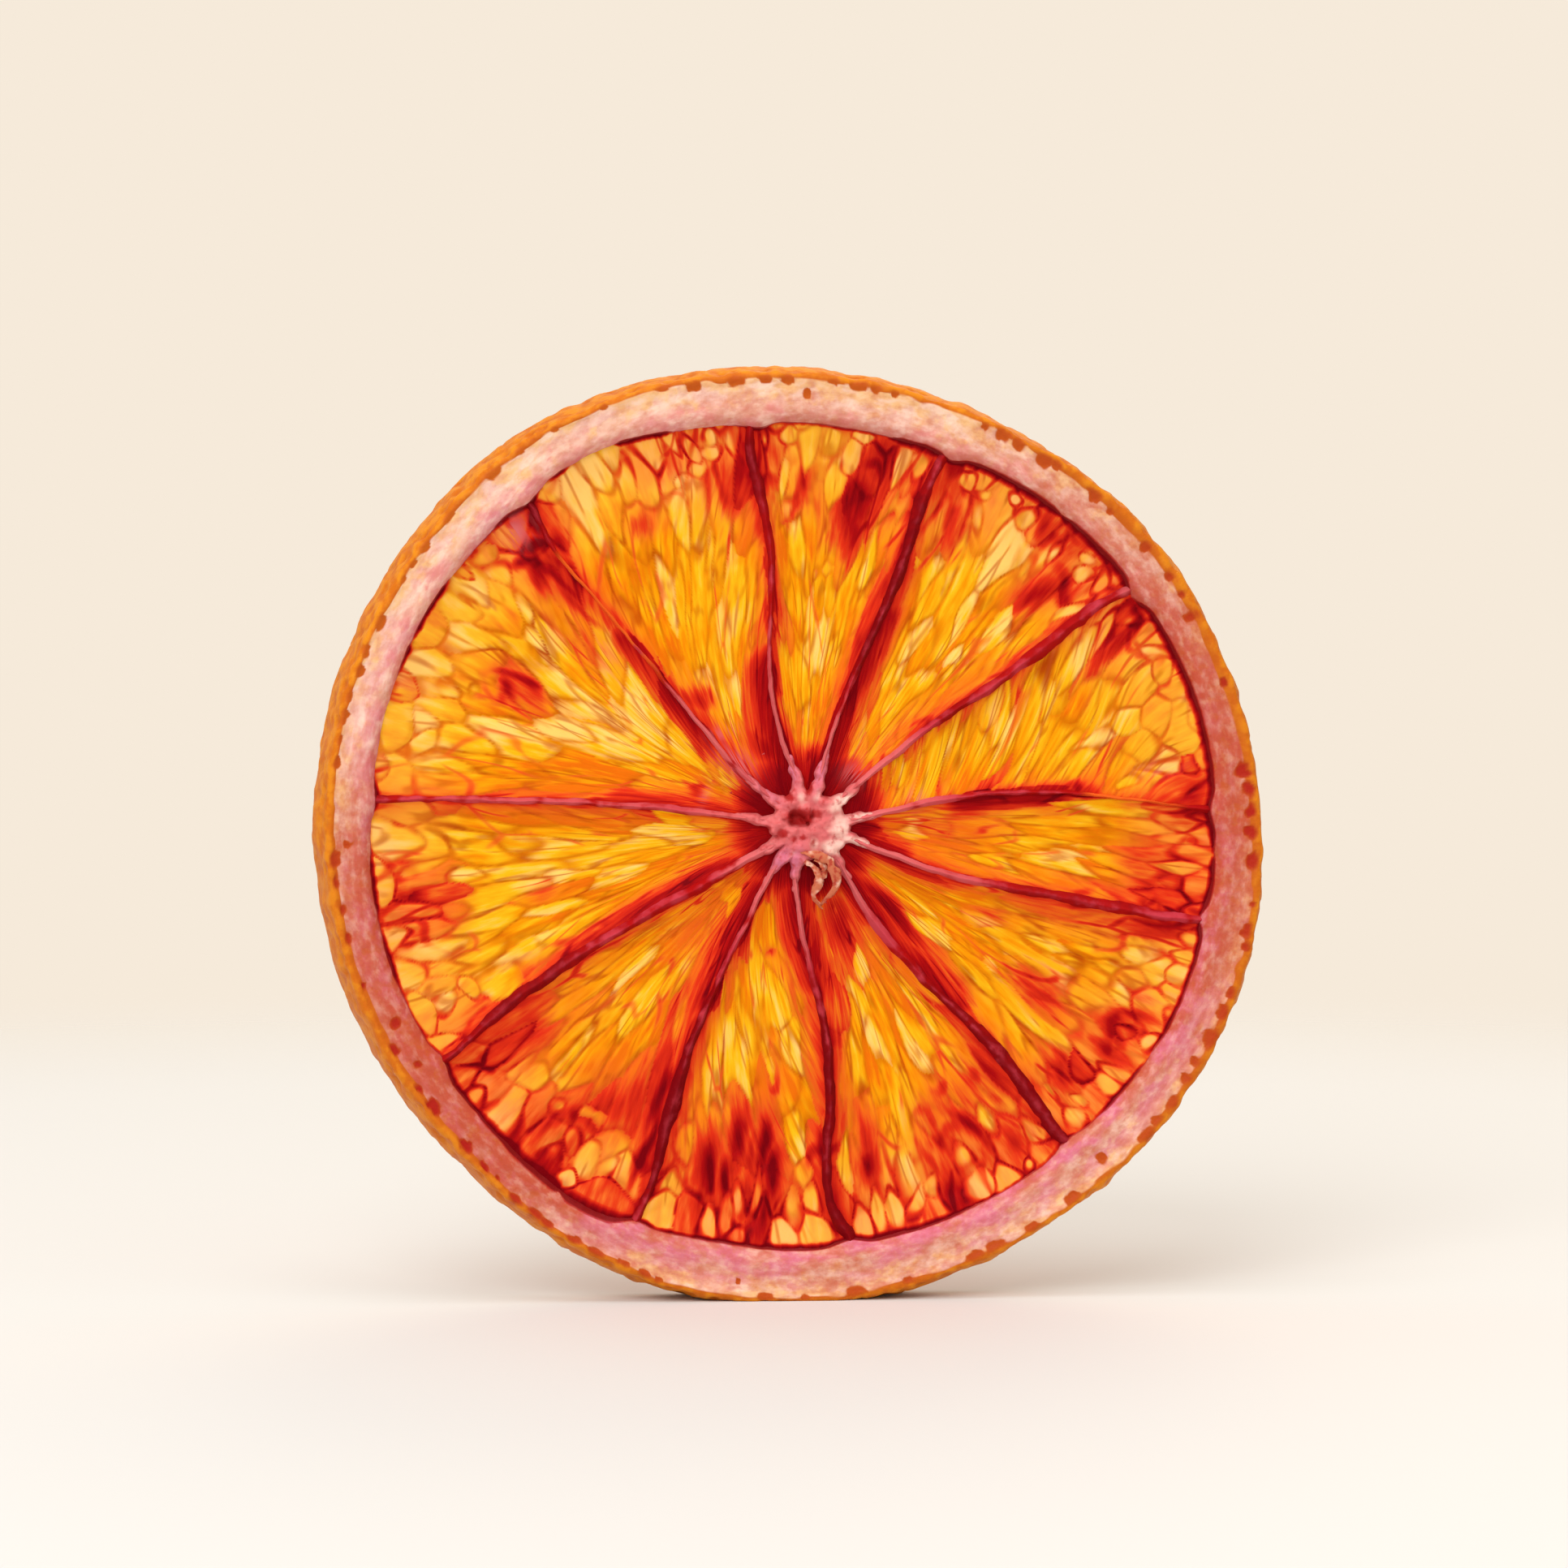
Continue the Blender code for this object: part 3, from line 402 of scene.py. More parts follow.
# How red the flesh and its creases get towards the pith round the turn: (angle, strength).
RIM_BLUSH = (
    (0, 0.5), (10, 0.12), (25, 0.2), (32, 0.5), (38, 0.45), (50, 0.4), (60, 0.3), (67, 0.5), (72, 0.4),
    (80, 0.35), (90, 0.12), (97, 0.5), (103, 0.4), (112, 0.6), (117, 0.4), (120, 0.06), (130, 0.35),
    (137, 0.4), (145, 0.1), (160, 0.12), (170, 0.12), (178, 0.25), (186, 0.2), (193, 0.45), (203, 0.25),
    (210, 0.35), (216, 0.6), (224, 0.4), (230, 0.6), (238, 0.5), (246, 0.5), (250, 0.4), (256, 0.7),
    (262, 0.7), (268, 0.45), (275, 0.5), (282, 0.55), (290, 0.6), (297, 0.6), (305, 0.5), (310, 0.4),
    (316, 0.5), (322, 0.5), (328, 0.5), (334, 0.22), (341, 0.28), (347, 0.6), (355, 0.35), (360, 0.5),
)
# Pale tatters of dried skin, given as stains are.
TATTERS = (
    (135.4, 28, 1.1, 0.9, 0, 1.1), (139.5, 6.4, 0.8, 1.4, 0, 0.85), (133, 8.4, 0.5, 0.9, 60, 0.6),
    (46, 4.6, 0.7, 0.8, 0, 0.7), (12.5, 7.6, 0.5, 0.7, 60, 0.7), (8.6, 24.2, 0.5, 1.6, 0, 0.35),
    (165, 7.2, 0.3, 0.9, 80, 0.5),
)
# How deep the dark line between pith and flesh is round the turn.
LINING = (
    (0, 0.45), (20, 0.5), (32, 0.45), (34.8, 0.1), (37, 0.6), (48, 0.6), (50.5, 0.25), (52, 0.6), (66, 0.5),
    (68.5, 0.25), (70, 0.6), (76, 0.5), (78, 0.2), (96, 0.18), (98, 0.35), (101, 0.1), (109, 0.12),
    (110, 0.35), (116, 0.35), (117.5, 0.05), (123, 0.05), (125, 0.3), (128, 0.1), (131, 0.4), (134, 0.5),
    (137, 0.2), (145, 0.08), (147, 0.3), (153, 0.3), (155, 0.15), (156, 0.32), (159, 0.2), (161, 0.08),
    (173, 0.08), (176, 0.45), (178.5, 0.1), (183, 0.15), (185, 0.3), (190, 0.3), (193, 0.15), (196, 0.3),
    (200, 0.3), (203, 0.15), (212, 0.2), (214.5, 0.45), (219, 0.35), (221, 0.3), (222, 0.5), (226, 0.5),
    (227.5, 0.8), (235, 0.8), (235.8, 0.35), (237, 1), (243, 1), (246.5, 0.3), (250, 0.25), (262, 0.3),
    (263.5, 0.4), (277, 0.4), (290, 0.35), (294, 0.2), (308, 0.2), (309, 0.4), (311, 0.15), (315, 0.2),
    (317, 0.3), (323, 0.25), (326, 0.12), (330, 0.3), (337, 0.25), (341, 0.3), (345, 0.45), (346, 0.1),
    (348, 0.45), (354, 0.4), (355.5, 0.15), (360, 0.45),
)
# The share of that line which lies on the pith's foot, and the depths from which it shows and is darkest.
LINING_ON_PITH = 0.35
LINING_NONE = 0.07 * MM
LINING_FULL = 0.30 * MM

# The walls' fins: where they start and end, and their section, round at 1 and sharper over it.
WALL_START = 1.5 * MM
WALL_IN_PITH = 0.45 * MM
WALL_HALF_HEIGHT = 1.66 * MM
WALL_ROUTE_POINTS = 110
WALL_STEP = 0.14 * MM
WALL_SIDES = 28
WALL_SHARPNESS = 1.7
# Each wall's look along it: (distance, width, how pink, how dark; under 0 it is orange).
WALL_LOOKS = (
    ((5, 0.65, 0.9, 0), (9, 0.8, 0.75, 0), (12, 0.55, 0.55, 0.2), (18, 0.45, 0.4, 0.3),
     (20, 0.35, 0.1, -0.8), (25, 0.35, 0, -0.4), (28, 1, 0, 0.5)),
    ((5, 0.6, 0.9, 0), (9, 0.75, 0.8, 0), (12, 0.8, 0.4, 0.5), (16, 0.9, 0.6, 0.2), (20, 1.3, 0.45, 0.2),
     (24, 1.2, 0.5, 0.3), (27, 0.9, 0.8, 0.1)),
    ((5, 0.42, 0.95, 0), (9, 0.42, 0.7, 0.1), (11, 0.7, 0.25, 0.7), (18, 1, 0.2, 0.8), (23, 1.3, 0.2, 0.7),
     (27, 0.9, 0.6, 0.2)),
    ((5, 0.46, 0.9, 0), (8, 0.42, 0.85, 0), (14, 0.42, 0.7, 0.2), (19, 0.8, 0.3, 0.3), (22, 1.1, 0.4, 0.4),
     (25, 1.3, 0, 0.8), (27.5, 0.8, 0.6, 0.2)),
    ((5, 0.55, 0.8, 0), (9, 0.45, 0.9, 0), (13, 0.4, 0.8, 0), (17, 0.35, 0.3, -0.8), (24, 0.35, 0, -0.8),
     (26, 0.6, 0, 0.3), (29, 0.9, 0.1, 0.9)),
    ((5, 0.5, 0.9, 0), (9, 0.75, 0.7, 0), (12, 0.6, 0.75, 0.1), (20, 0.7, 0.75, 0.1), (27, 0.6, 0.65, 0.2),
     (29.5, 1.2, 0.3, 0.4)),
    ((5, 0.8, 0.9, 0), (8, 0.9, 0.6, 0.1), (11, 0.9, 0.55, 0.2), (17, 1, 0.5, 0.3), (19, 1.3, 0.15, 0.6),
     (25, 1.3, 0.2, 0.6), (27, 0.8, 0.3, 0.5), (29.5, 1, 0.5, 0.3)),
    ((5, 0.52, 0.9, 0), (9, 0.5, 0.7, 0.2), (13, 0.6, 0.4, 0.6), (18, 1, 0.15, 0.8), (22, 1.4, 0.1, 0.9),
     (27, 0.8, 0.1, 0.7), (29.5, 1, 0.5, 0.3)),
    ((5, 0.5, 0.95, 0), (9, 0.55, 0.75, 0.2), (12, 0.8, 0.4, 0.6), (17, 0.95, 0.2, 0.9), (22, 1, 0.15, 0.7),
     (28, 1.2, 0.05, 0.8), (29.5, 1.2, 0.2, 0.5)),
    ((5, 0.5, 0.9, 0), (8, 0.9, 0.7, 0.1), (11, 0.9, 0.6, 0.2), (15, 0.8, 0.35, 0.6), (20, 1.2, 0.3, 0.7),
     (25, 1.3, 0.2, 0.7), (29, 1.1, 0.1, 0.7)),
    ((5, 0.55, 0.95, 0), (9, 0.7, 0.8, 0), (13, 0.8, 0.75, 0.1), (16, 1, 0.2, 0.4), (21, 1.2, 0.4, 0.3),
     (25, 1, 0.5, 0.3), (28, 0.8, 0.7, 0.1)),
)

# The core, drawn out into an arm along each wall: its body's radius and lobes, how far the arms reach, half
# its thickness, the floor between the arms, the torn pit, and how low the arms lie.
CORE_BODY = 2.35 * MM
CORE_LOBES = ((1, 0.25 * MM, -35), (2, 0.25 * MM, -12))
CORE_REACH = 5.6 * MM
CORE_HALF = 2.00 * MM
CORE_FLOOR = 0.75 * MM
CORE_PIT = (-0.55 * MM, 0.32 * MM)
CORE_PIT_DEPTH = 0.9 * MM
ARM_BELOW_WALL = 0.04 * MM
ARM_DROP = 0.45 * MM
CORE_TURN_STEPS = 480
CORE_STEP = 0.085 * MM
# An arm's half width at distances from the core's middle.
ARM_WIDTHS = (
    (1.6, 0.6), (2.4, 0.44), (3.2, 0.26), (4.4, 0.17), (5.6, 0.14),
)
# The palest patches of the core, given as stains are.
CORE_PATCHES = (
    (-41, 2.4, 0.55, 0.8, 40, 1.5), (-8, 2.2, 0.95, 0.75, 0, 1), (32, 2.7, 0.45, 0.9, 0, 1),
    (-20.5, 3.6, 0.32, 1.3, 0, 1.1), (7.5, 3.6, 0.25, 1.2, 0, 0.85), (105, 1.9, 0.3, 0.5, 0, 0.5),
    (72, 1.9, 0.3, 0.45, 0, 0.5), (247, 2.3, 0.35, 0.35, 0, 0.5), (-70, 1.4, 0.35, 0.45, 0, 0.45),
)
# The core's deepest red, given as stains are.
CORE_DARKS = (
    (140, 0.75, 0.55, 1, 40, 1.2), (50, 0.9, 0.5, 0.35, 60, 0.8), (200, 1.9, 0.35, 0.45, 0, 0.8),
    (125, 2.3, 0.3, 0.4, 0, 0.8), (88, 2.4, 0.26, 0.55, 0, 0.9), (225, 1.4, 0.35, 0.3, 30, 0.7),
    (-2, 3.8, 0.25, 0.35, 0, 0.8), (160, 2.7, 0.3, 0.35, 0, 0.8), (285, 1.3, 0.4, 0.25, 60, 0.6),
    (55, 2.4, 0.25, 0.45, 0, 0.7), (250, 1, 0.45, 0.25, 20, 0.5), (187, 2.8, 0.25, 0.4, 0, 0.7),
)
# Where the core's pink turns lilac, given as stains are.
CORE_LILACS = (
    (233, 3, 0.5, 0.9, 0, 1.2), (250, 2.9, 0.45, 1.1, 0, 1.3), (106, 4.2, 0.35, 1.4, 0, 1),
    (76, 4, 0.35, 1.5, 0, 1.1), (142, 3.4, 0.35, 1.2, 0, 0.6),
)
# The curl's strips: points right of and over the core, and ahead of the middle plane.
CURL_STRANDS = (
    ((-0.5, -1.9, 2), (0.1, -2, 2.25), (0.9, -2.2, 2.4), (1.5, -2.7, 2.4), (1.85, -3.4, 2.3),
     (1.9, -4.1, 2.2), (1.6, -4.7, 2.1), (1.1, -5.2, 1.9), (0.8, -5.7, 1.6)),
    ((-0.3, -2.5, 2), (0.3, -2.9, 2.3), (0.7, -3.5, 2.35), (0.6, -4.2, 2.3), (0.3, -4.8, 2.2),
     (0.6, -5.3, 2.05), (1, -5.8, 1.7)),
    ((0.4, -2.4, 2.2), (0.9, -2.7, 2.25), (1.15, -3.2, 2.15), (0.8, -3.7, 2.3), (0.4, -4, 2.1)),
)
CURL_SIDES = 12
CURL_STEP = 0.10 * MM
CURL_THINNESS = 0.32

# The camera: where it stands and what it frames.
CAMERA_DISTANCE = 444 * MM
CAMERA_AZIMUTH = math.radians(-5)
CAMERA_HEIGHT = 58.5 * MM
CAMERA_PITCH = math.radians(-3.02)
CAMERA_LENS = 150.0
CAMERA_SIDE = -0.3 * MM
CLIP_START = 10 * MM
CLIP_END = 20.0
# The soft lights, all aimed at the slice's middle: (name, place, size, power, colour).
LIGHTS = (
    ("top", (-0.10, -0.22, 0.85), 0.55, 2.4, (1.0, 0.98, 0.95)),
    ("front", (-0.35, -0.90, 0.72), 0.70, 6.9, (1.0, 0.98, 0.95)),
    ("back", (0.25, 0.80, 0.60), 0.60, 1.6, (1.0, 0.70, 0.42)),
)
LIGHT_TARGET = (0, 0, 32 * MM)
# The floor's round edge, and the share of its radius at which it starts to fade.
FLOOR_SIDES = 96
FLOOR_FADE = 0.55
# The backdrop's strength on the slice and in the camera.
BACKDROP_LIGHT = 0.84
BACKDROP_SEEN = 1.0


def length_property(name, description, default, least=0.0):
    return bpy.props.FloatProperty(
        name=name, description=description, default=default, min=least, unit="LENGTH", precision=5)


class SliceSizes(bpy.types.PropertyGroup):
    sac_height: length_property("Sac height", "How far a juice sac stands over its creases", 0.24 * MM)
    sac_crease: length_property("Crease width", "Half the width of the dark line between two sacs", 0.12 * MM)
    skin_wrinkle: length_property("Skin wrinkle", "Height of the wrinkles on the sacs' skins", 0.035 * MM)
    wrinkle_size: length_property("Wrinkle size", "Distance between the wrinkles", 0.7 * MM, 0.1 * MM)
    gland_spacing: length_property("Gland spacing", "Distance between oil glands", 1.15 * MM, 0.2 * MM)
    gland_depth: length_property("Gland depth", "Depth of the pit over an oil gland", 0.16 * MM)
    pith_grain: length_property("Pith grain", "Height of the dry pith's grain", 0.07 * MM)
    wall_width: length_property("Wall width", "Thickness of a wall between segments", 1.40 * MM, 0.1 * MM)
    wall_wobble: length_property("Wall wobble", "How unevenly the walls' crests have dried", 0.14 * MM)
    curl_width: length_property("Curl width", "Width of the loose strips of fibre under the core", 0.58 * MM)
    floor_radius: length_property("Floor radius", "Radius of the pale floor", 0.26, 0.1)


def colour_property(name, description, default):
    return bpy.props.FloatVectorProperty(
        name=name, description=description, default=(*default, 1.0), size=4,
        min=0, max=1, subtype="COLOR")


class SliceColours(bpy.types.PropertyGroup):
    yellow: colour_property("Yellow flesh", "Thin bright flesh in the middle of a sac", (0.86, 0.475, 0.010))
    amber: colour_property("Amber flesh", "Most of the flesh", (0.83, 0.31, 0.002))
    # Also the colour of the painted highlights on the plumpest sacs.
    peach: colour_property("Peach flesh", "The palest sacs", (0.94, 0.60, 0.15))
    salmon: colour_property("Salmon flesh", "Flesh near a blushing stretch of pith", (0.90, 0.32, 0.11))
    orange: colour_property("Orange flesh", "The deepest flesh that isn't stained", (0.74, 0.155, 0.003))
    ochre: colour_property("Ochre line", "The line between two pale sacs", (0.60, 0.16, 0.001))
    crease: colour_property("Crease", "The line between two sacs", (0.40, 0.038, 0.001))
    flame: colour_property("Flame stain", "The faintest stain", (0.78, 0.125, 0.016))
    scarlet: colour_property("Scarlet stain", "Lightly stained flesh", (0.64, 0.028, 0.008))
    crimson: colour_property("Crimson stain", "Strongly stained flesh", (0.38, 0.004, 0.005))
    maroon: colour_property("Maroon stain", "The darkest flesh and walls", (0.17, 0.001, 0.004))
    # Also the colour of the painted highlight along a wall's crest.
    crest: colour_property("Wall crest", "The dry crest of a wall", (0.50, 0.040, 0.065))
    fibre: colour_property("Core fibre", "The fibres of the core", (0.66, 0.145, 0.155))
    pale_fibre: colour_property("Pale fibre", "The palest fibres and tatters", (0.88, 0.55, 0.49))
    curl: colour_property("Curl", "The loose dry strips under the core", (0.54, 0.15, 0.075))
    pith: colour_property("Pith", "The pale side of the pith", (0.80, 0.50, 0.385))
    pith_white: colour_property("White pith", "The palest clouds of the pith", (0.90, 0.66, 0.56))
    cream: colour_property("Cream pith", "The pith next to the peel", (0.84, 0.50, 0.20))
    pith_pink: colour_property("Pink pith", "The pith next to the flesh", (0.74, 0.30, 0.27))
    pith_lilac: colour_property("Lilac pith", "Patches of pith with a lilac tint", (0.64, 0.17, 0.26))
    pith_mauve: colour_property("Stained pith", "The stained side of the pith", (0.48, 0.068, 0.033))
    peel: colour_property("Peel", "The outer skin", (0.60, 0.15, 0.003))
    peel_light: colour_property("Light peel", "The ridges between the skin's pits", (0.72, 0.25, 0.008))
    gland: colour_property("Oil gland", "The dried glands in the cut peel", (0.50, 0.10, 0.006))
    floor: colour_property("Floor", "The pale floor", (0.705, 0.735, 0.765))
    backdrop: colour_property("Backdrop", "The cream light behind", (0.922, 0.823, 0.701))


# ---------------------------------------------------------------- the slice's plan


def smoothstep(low, high, value):
    """0 under low, 1 over high, and smooth between."""
    share = np.clip((value - low) / (high - low), 0.0, 1.0)
    return share * share * (3.0 - 2.0 * share)


def falloff(distance, width):
    """1 at no distance, fading out over about this width."""
    return np.exp(-((distance / width) ** 2))


def outline(distances, angle):
    """A smooth closed curve through distances, in mm, that stand at equal steps round the turn."""
    place = angle / TAU * len(distances)
    step = np.floor(place).astype(int)
    along = place - step
    around = (MM * np.take(distances, step + shift, mode="wrap") for shift in (-1, 0, 1, 2))
    before, start, end, after = around
    leaving, arriving = (end - before) / 2, (after - start) / 2
    bend = 3 * (end - start) - 2 * leaving - arriving
    twist = 2 * (start - end) + leaving + arriving
    return start + along * (leaving + along * (bend + along * twist))


def lobed(mean, lobes, angle):
    """A radius that swells and shrinks round the turn."""
    return mean + sum(size * np.cos(n * angle - math.radians(at)) for n, size, at in lobes)


def round_the_turn(pairs, angle):
    """A value that follows (angle, value) pairs round the turn."""
    places, values = zip(*pairs)
    return np.interp(np.degrees(angle) % 360, places, values)


def grain(seed, across, along):
    """A smooth random value from -1 to 1 at each point, with one random number to each unit square."""
    table = np.random.default_rng(seed).uniform(-1, 1, (64, 64))
    column, row = np.floor(across).astype(int), np.floor(along).astype(int)
    s, t = across - column, along - row
    s, t = s * s * (3 - 2 * s), t * t * (3 - 2 * t)
    column, row, beside, after = column % 64, row % 64, (column + 1) % 64, (row + 1) % 64
    low = table[column, row] * (1 - s) + table[beside, row] * s
    high = table[column, after] * (1 - s) + table[beside, after] * s
    return low * (1 - t) + high * t


def turned(angle):
    """The angle brought to within half a turn of zero."""
    return (angle + np.pi) % TAU - np.pi


def rim_edge(angle):
    return outline(RIM_OUTLINE, angle)


def pulp_edge(angle):
    """The distance from the core to the pith, with a notch at each wall."""
    edge = outline(PULP_OUTLINE, angle)
    for wall in WALLS:
        aside = turned(angle - math.radians(wall[-1])) * PULP_RADIUS
        edge = edge - PULP_NOTCH * falloff(aside, PULP_NOTCH_WIDTH)
    return edge


def rim_flare(angle):
    """How much wider the rim is at the back than at the front."""
    return FLARE + FLARE_SWING * np.cos(angle - FLARE_ANGLE)


def core_place():
    """The core's x: the middle of the slice's width stands over the origin."""
    angle = np.linspace(0, TAU, 720, endpoint=False)
    across = (rim_edge(angle) + np.abs(rim_flare(angle)) / 2) * np.cos(angle)
    return -(across.max() + across.min()) / 2


CORE_X = core_place()
WALL_CURVES = [np.polyfit(MM * np.array(WALL_RADII), np.radians(wall), len(wall) - 1) for wall in WALLS]


def wall_angle(wall, radius):
    """A wall's angle at these distances from the core."""
    reach = np.clip(radius, 0.6 * (MM * WALL_RADII[0]), MM * WALL_RADII[-1])
    return np.polyval(WALL_CURVES[wall], reach)


def segment_span(first, radius):
    """The angles at which a segment starts and that it spans, at these distances from the core."""
    start = wall_angle(first, radius)
    return start, (wall_angle((first + 1) % len(WALLS), radius) - start) % TAU


def flat_place(radius, angle):
    """x and z from the core."""
    return radius * np.cos(angle), radius * np.sin(angle)


def in_frame(radius, angle, y):
    """Points of the frame from polar places round the core."""
    x, z = flat_place(radius, angle)
    return np.stack([CORE_X + x, y, CORE_HEIGHT + z], axis=-1)


def blots(places, x, z):
    """The strongest of some soft-edged spots at each point. x and z are taken from the core."""
    found = np.zeros_like(x)
    for angle, distance, half_width, half_length, turn, strength in places:
        out, heading = math.radians(angle), math.radians(angle + turn)
        dx, dz = x / MM - distance * math.cos(out), z / MM - distance * math.sin(out)
        along = dx * math.cos(heading) + dz * math.sin(heading)
        aside = dz * math.cos(heading) - dx * math.sin(heading)
        spot = np.exp(-((along / half_length) ** 2) - (aside / half_width) ** 2)
        found = np.maximum(found, strength * spot)
    return found


def smooth_path(points, step):
    """A Catmull-Rom curve through these points, sampled about this far apart, with its last point."""
    points = np.array(points)
    ends = np.concatenate([[2 * points[0] - points[1]], points, [2 * points[-1] - points[-2]]])
    found = []
    for a, b, c, d in zip(ends, ends[1:], ends[2:], ends[3:]):
        samples = max(2, int(round(np.linalg.norm(c - b) / step)) + 1)
        for t in np.linspace(0, 1, samples)[:-1]:
            found.append(0.5 * (2 * b + (c - a) * t + (2 * a - 5 * b + 4 * c - d) * t**2
                                + (3 * b - a - 3 * c + d) * t**3))
    return np.array([*found, points[-1]])


# ---------------------------------------------------------------- meshes


def linked(name, data):
    """A new object of the scene with this data."""
    made = bpy.data.objects.new(name, data)
    bpy.context.scene.collection.objects.link(made)
    return made


def store(mesh, values):
    """Stores arrays with one value for each point of a mesh, as attributes under their names."""
    for name, column in values.items():
        attribute = mesh.attributes.new(name, "FLOAT", "POINT")
        attribute.data.foreach_set("value", column.astype(np.float32).ravel())


def mesh_piece(name, points, faces, values, material=None):
    """A smooth mesh object from a grid of points, its faces turned outwards."""
    points = points.reshape(-1, 3)
    first, second, third, fourth = (points[corner] for corner in faces.T)
    if np.einsum("ij,ij->", first, np.cross(second, third) + np.cross(third, fourth)) < 0:
        faces = faces[:, ::-1]
    mesh = bpy.data.meshes.new(name)
    mesh.vertices.add(len(points))
    mesh.vertices.foreach_set("co", points.astype(np.float32).ravel())
    mesh.loops.add(faces.size)
    mesh.loops.foreach_set("vertex_index", faces.astype(np.int32).ravel())
    mesh.polygons.add(len(faces))
    mesh.polygons.foreach_set("loop_start", np.arange(0, faces.size, 4, dtype=np.int32))
    mesh.update(calc_edges=True)
    mesh.validate()
    store(mesh, values)
    mesh.shade_smooth()
    if material:
        mesh.materials.append(material)
    return linked(name, mesh)


def ring_faces(rows, columns, wrap_rows=False):
    """Quads between rows of closed rings of points."""
    row = np.arange(rows if wrap_rows else rows - 1)[:, None]
    column = np.arange(columns)[None, :]
    after, beside = (row + 1) % rows, (column + 1) % columns
    near, far = row * columns, after * columns
    corners = np.broadcast_arrays(near + column, near + beside, far + beside, far + column)
    return np.stack(corners, axis=-1).reshape(-1, 4)


def slab_faces(rows, columns):
    """Quads of a slab whose rings run over its front and back over its back, with both ends closed."""
    near = np.arange(columns // 2 - 1)
    far = columns - 1 - near
    cap = np.stack([near, near + 1, far - 1, far], axis=-1)
    return np.concatenate([ring_faces(rows, columns), cap, cap[:, ::-1] + (rows - 1) * columns])


def finish_piece(piece):
    """Ties a finished piece to the solid that it stands for."""
    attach(piece, BODY)
    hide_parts(NODE)


# ---------------------------------------------------------------- node trees


class Value:
    """A number in a node tree. A sum with it adds a Math node to the tree, and is a Value too."""

    def __init__(self, socket):
        self.socket = socket
        self.tree = socket.id_data

    def __add__(self, other):
        return combined("ADD", self, other)

    def __sub__(self, other):
        return combined("SUBTRACT", self, other)

    def __rsub__(self, other):
        return combined("SUBTRACT", other, self)

    def __mul__(self, other):
        return combined("MULTIPLY", self, other)

    def __truediv__(self, other):
        return combined("DIVIDE", self, other)

    def __rtruediv__(self, other):
        return combined("DIVIDE", other, self)


def feed(node, inputs):
    """Sets a node's inputs, by name or number, to plain values or to the Value or socket that feeds them."""
    for name, value in inputs.items():
        if isinstance(value, Value):
            value = value.socket
        if isinstance(value, bpy.types.NodeSocket):
            node.id_data.links.new(value, node.inputs[name])
        else:
            node.inputs[name].default_value = value


def add_node(tree, kind, inputs=None, **settings):
    node = tree.nodes.new(kind)
    for name, value in settings.items():
        setattr(node, name, value)
    feed(node, inputs or {})
    return node


def combined(operation, first, second=0.0):
    """The Value of a Math node, of which at least one side is a Value."""
    tree = (first if isinstance(first, Value) else second).tree
    return Value(add_node(tree, "ShaderNodeMath", {0: first, 1: second}, operation=operation).outputs[0])


def vector_math(tree, operation, inputs, output="Vector"):
    return add_node(tree, "ShaderNodeVectorMath", inputs, operation=operation).outputs[output]


def ramp(value, low, high):
    """0 under low, 1 over high, and smooth between."""
    inputs = {"Value": value, "From Min": low, "From Max": high}
    node = add_node(value.tree, "ShaderNodeMapRange", inputs, interpolation_type="SMOOTHSTEP")
    return Value(node.outputs["Result"])


def spread(value, low, high):
    """A value that goes from low to high while the given one goes from 0 to 1."""
    node = add_node(value.tree, "ShaderNodeMapRange", {"Value": value, "To Min": low, "To Max": high})
    return Value(node.outputs["Result"])


def swing(noise, size):
    """A noise's swing about its middle, this many times."""
    return (noise - 0.5) * size


def noise_at(tree, place, size, detail, **settings):
    """A noise whose blobs are about this size."""
    inputs = {"Vector": place, "Scale": 1 / size, "Detail": detail}
    return Value(add_node(tree, "ShaderNodeTexNoise", inputs, **settings).outputs["Fac"])


def object_noise(tree, size, detail):
    return noise_at(tree, add_node(tree, "ShaderNodeTexCoord").outputs["Object"], size, detail)


def read(tree, *names):
    """The values of a mesh's attributes in a material."""
    nodes = [add_node(tree, "ShaderNodeAttribute", attribute_name=name) for name in names]
    return [Value(node.outputs["Fac"]) for node in nodes]


def mixed(tree, share, first, second):
    """The first colour with this share of the second."""
    return add_node(tree, "ShaderNodeMix", {0: share, 6: first, 7: second}, data_type="RGBA").outputs[2]


def layered(tree, colour, *layers):
    """A colour with others laid over it in turn, each given as (share, colour)."""
    for share, over in layers:
        colour = mixed(tree, share, colour, over)
    return colour


def colour_ramp(value, *stops):
    """A value turned into a colour by (place, colour) stops."""
    node = add_node(value.tree, "ShaderNodeValToRGB", {"Fac": value})
    elements = node.color_ramp.elements
    while len(elements) < len(stops):
        elements.new(1.0)
    for element, (place, colour) in zip(elements, stops):
        element.position = place
        element.color = colour
    return node.outputs["Color"]


def new_material(name):
    """A material, its tree and its Principled shader."""
    material = bpy.data.materials.new(name)
    material.use_nodes = True
    return material, material.node_tree, material.node_tree.nodes["Principled BSDF"]


def lay_skin(shader, colour, roughness, gloss, soak, depths, bumps, height, strength):
    """Feeds a shader. Soak is the share of light that soaks in, to these depths for red, green and blue."""
    inputs = {"Height": bumps, "Distance": height, "Strength": strength}
    feed(shader, {
        "Base Color": colour,
        "Roughness": roughness,
        "Specular IOR Level": gloss,
        "Subsurface Weight": soak,
        "Subsurface Radius": [MM * depth for depth in depths],
        "Subsurface Scale": 1.0,
        "Normal": add_node(shader.id_data, "ShaderNodeBump", inputs).outputs["Normal"],
    })


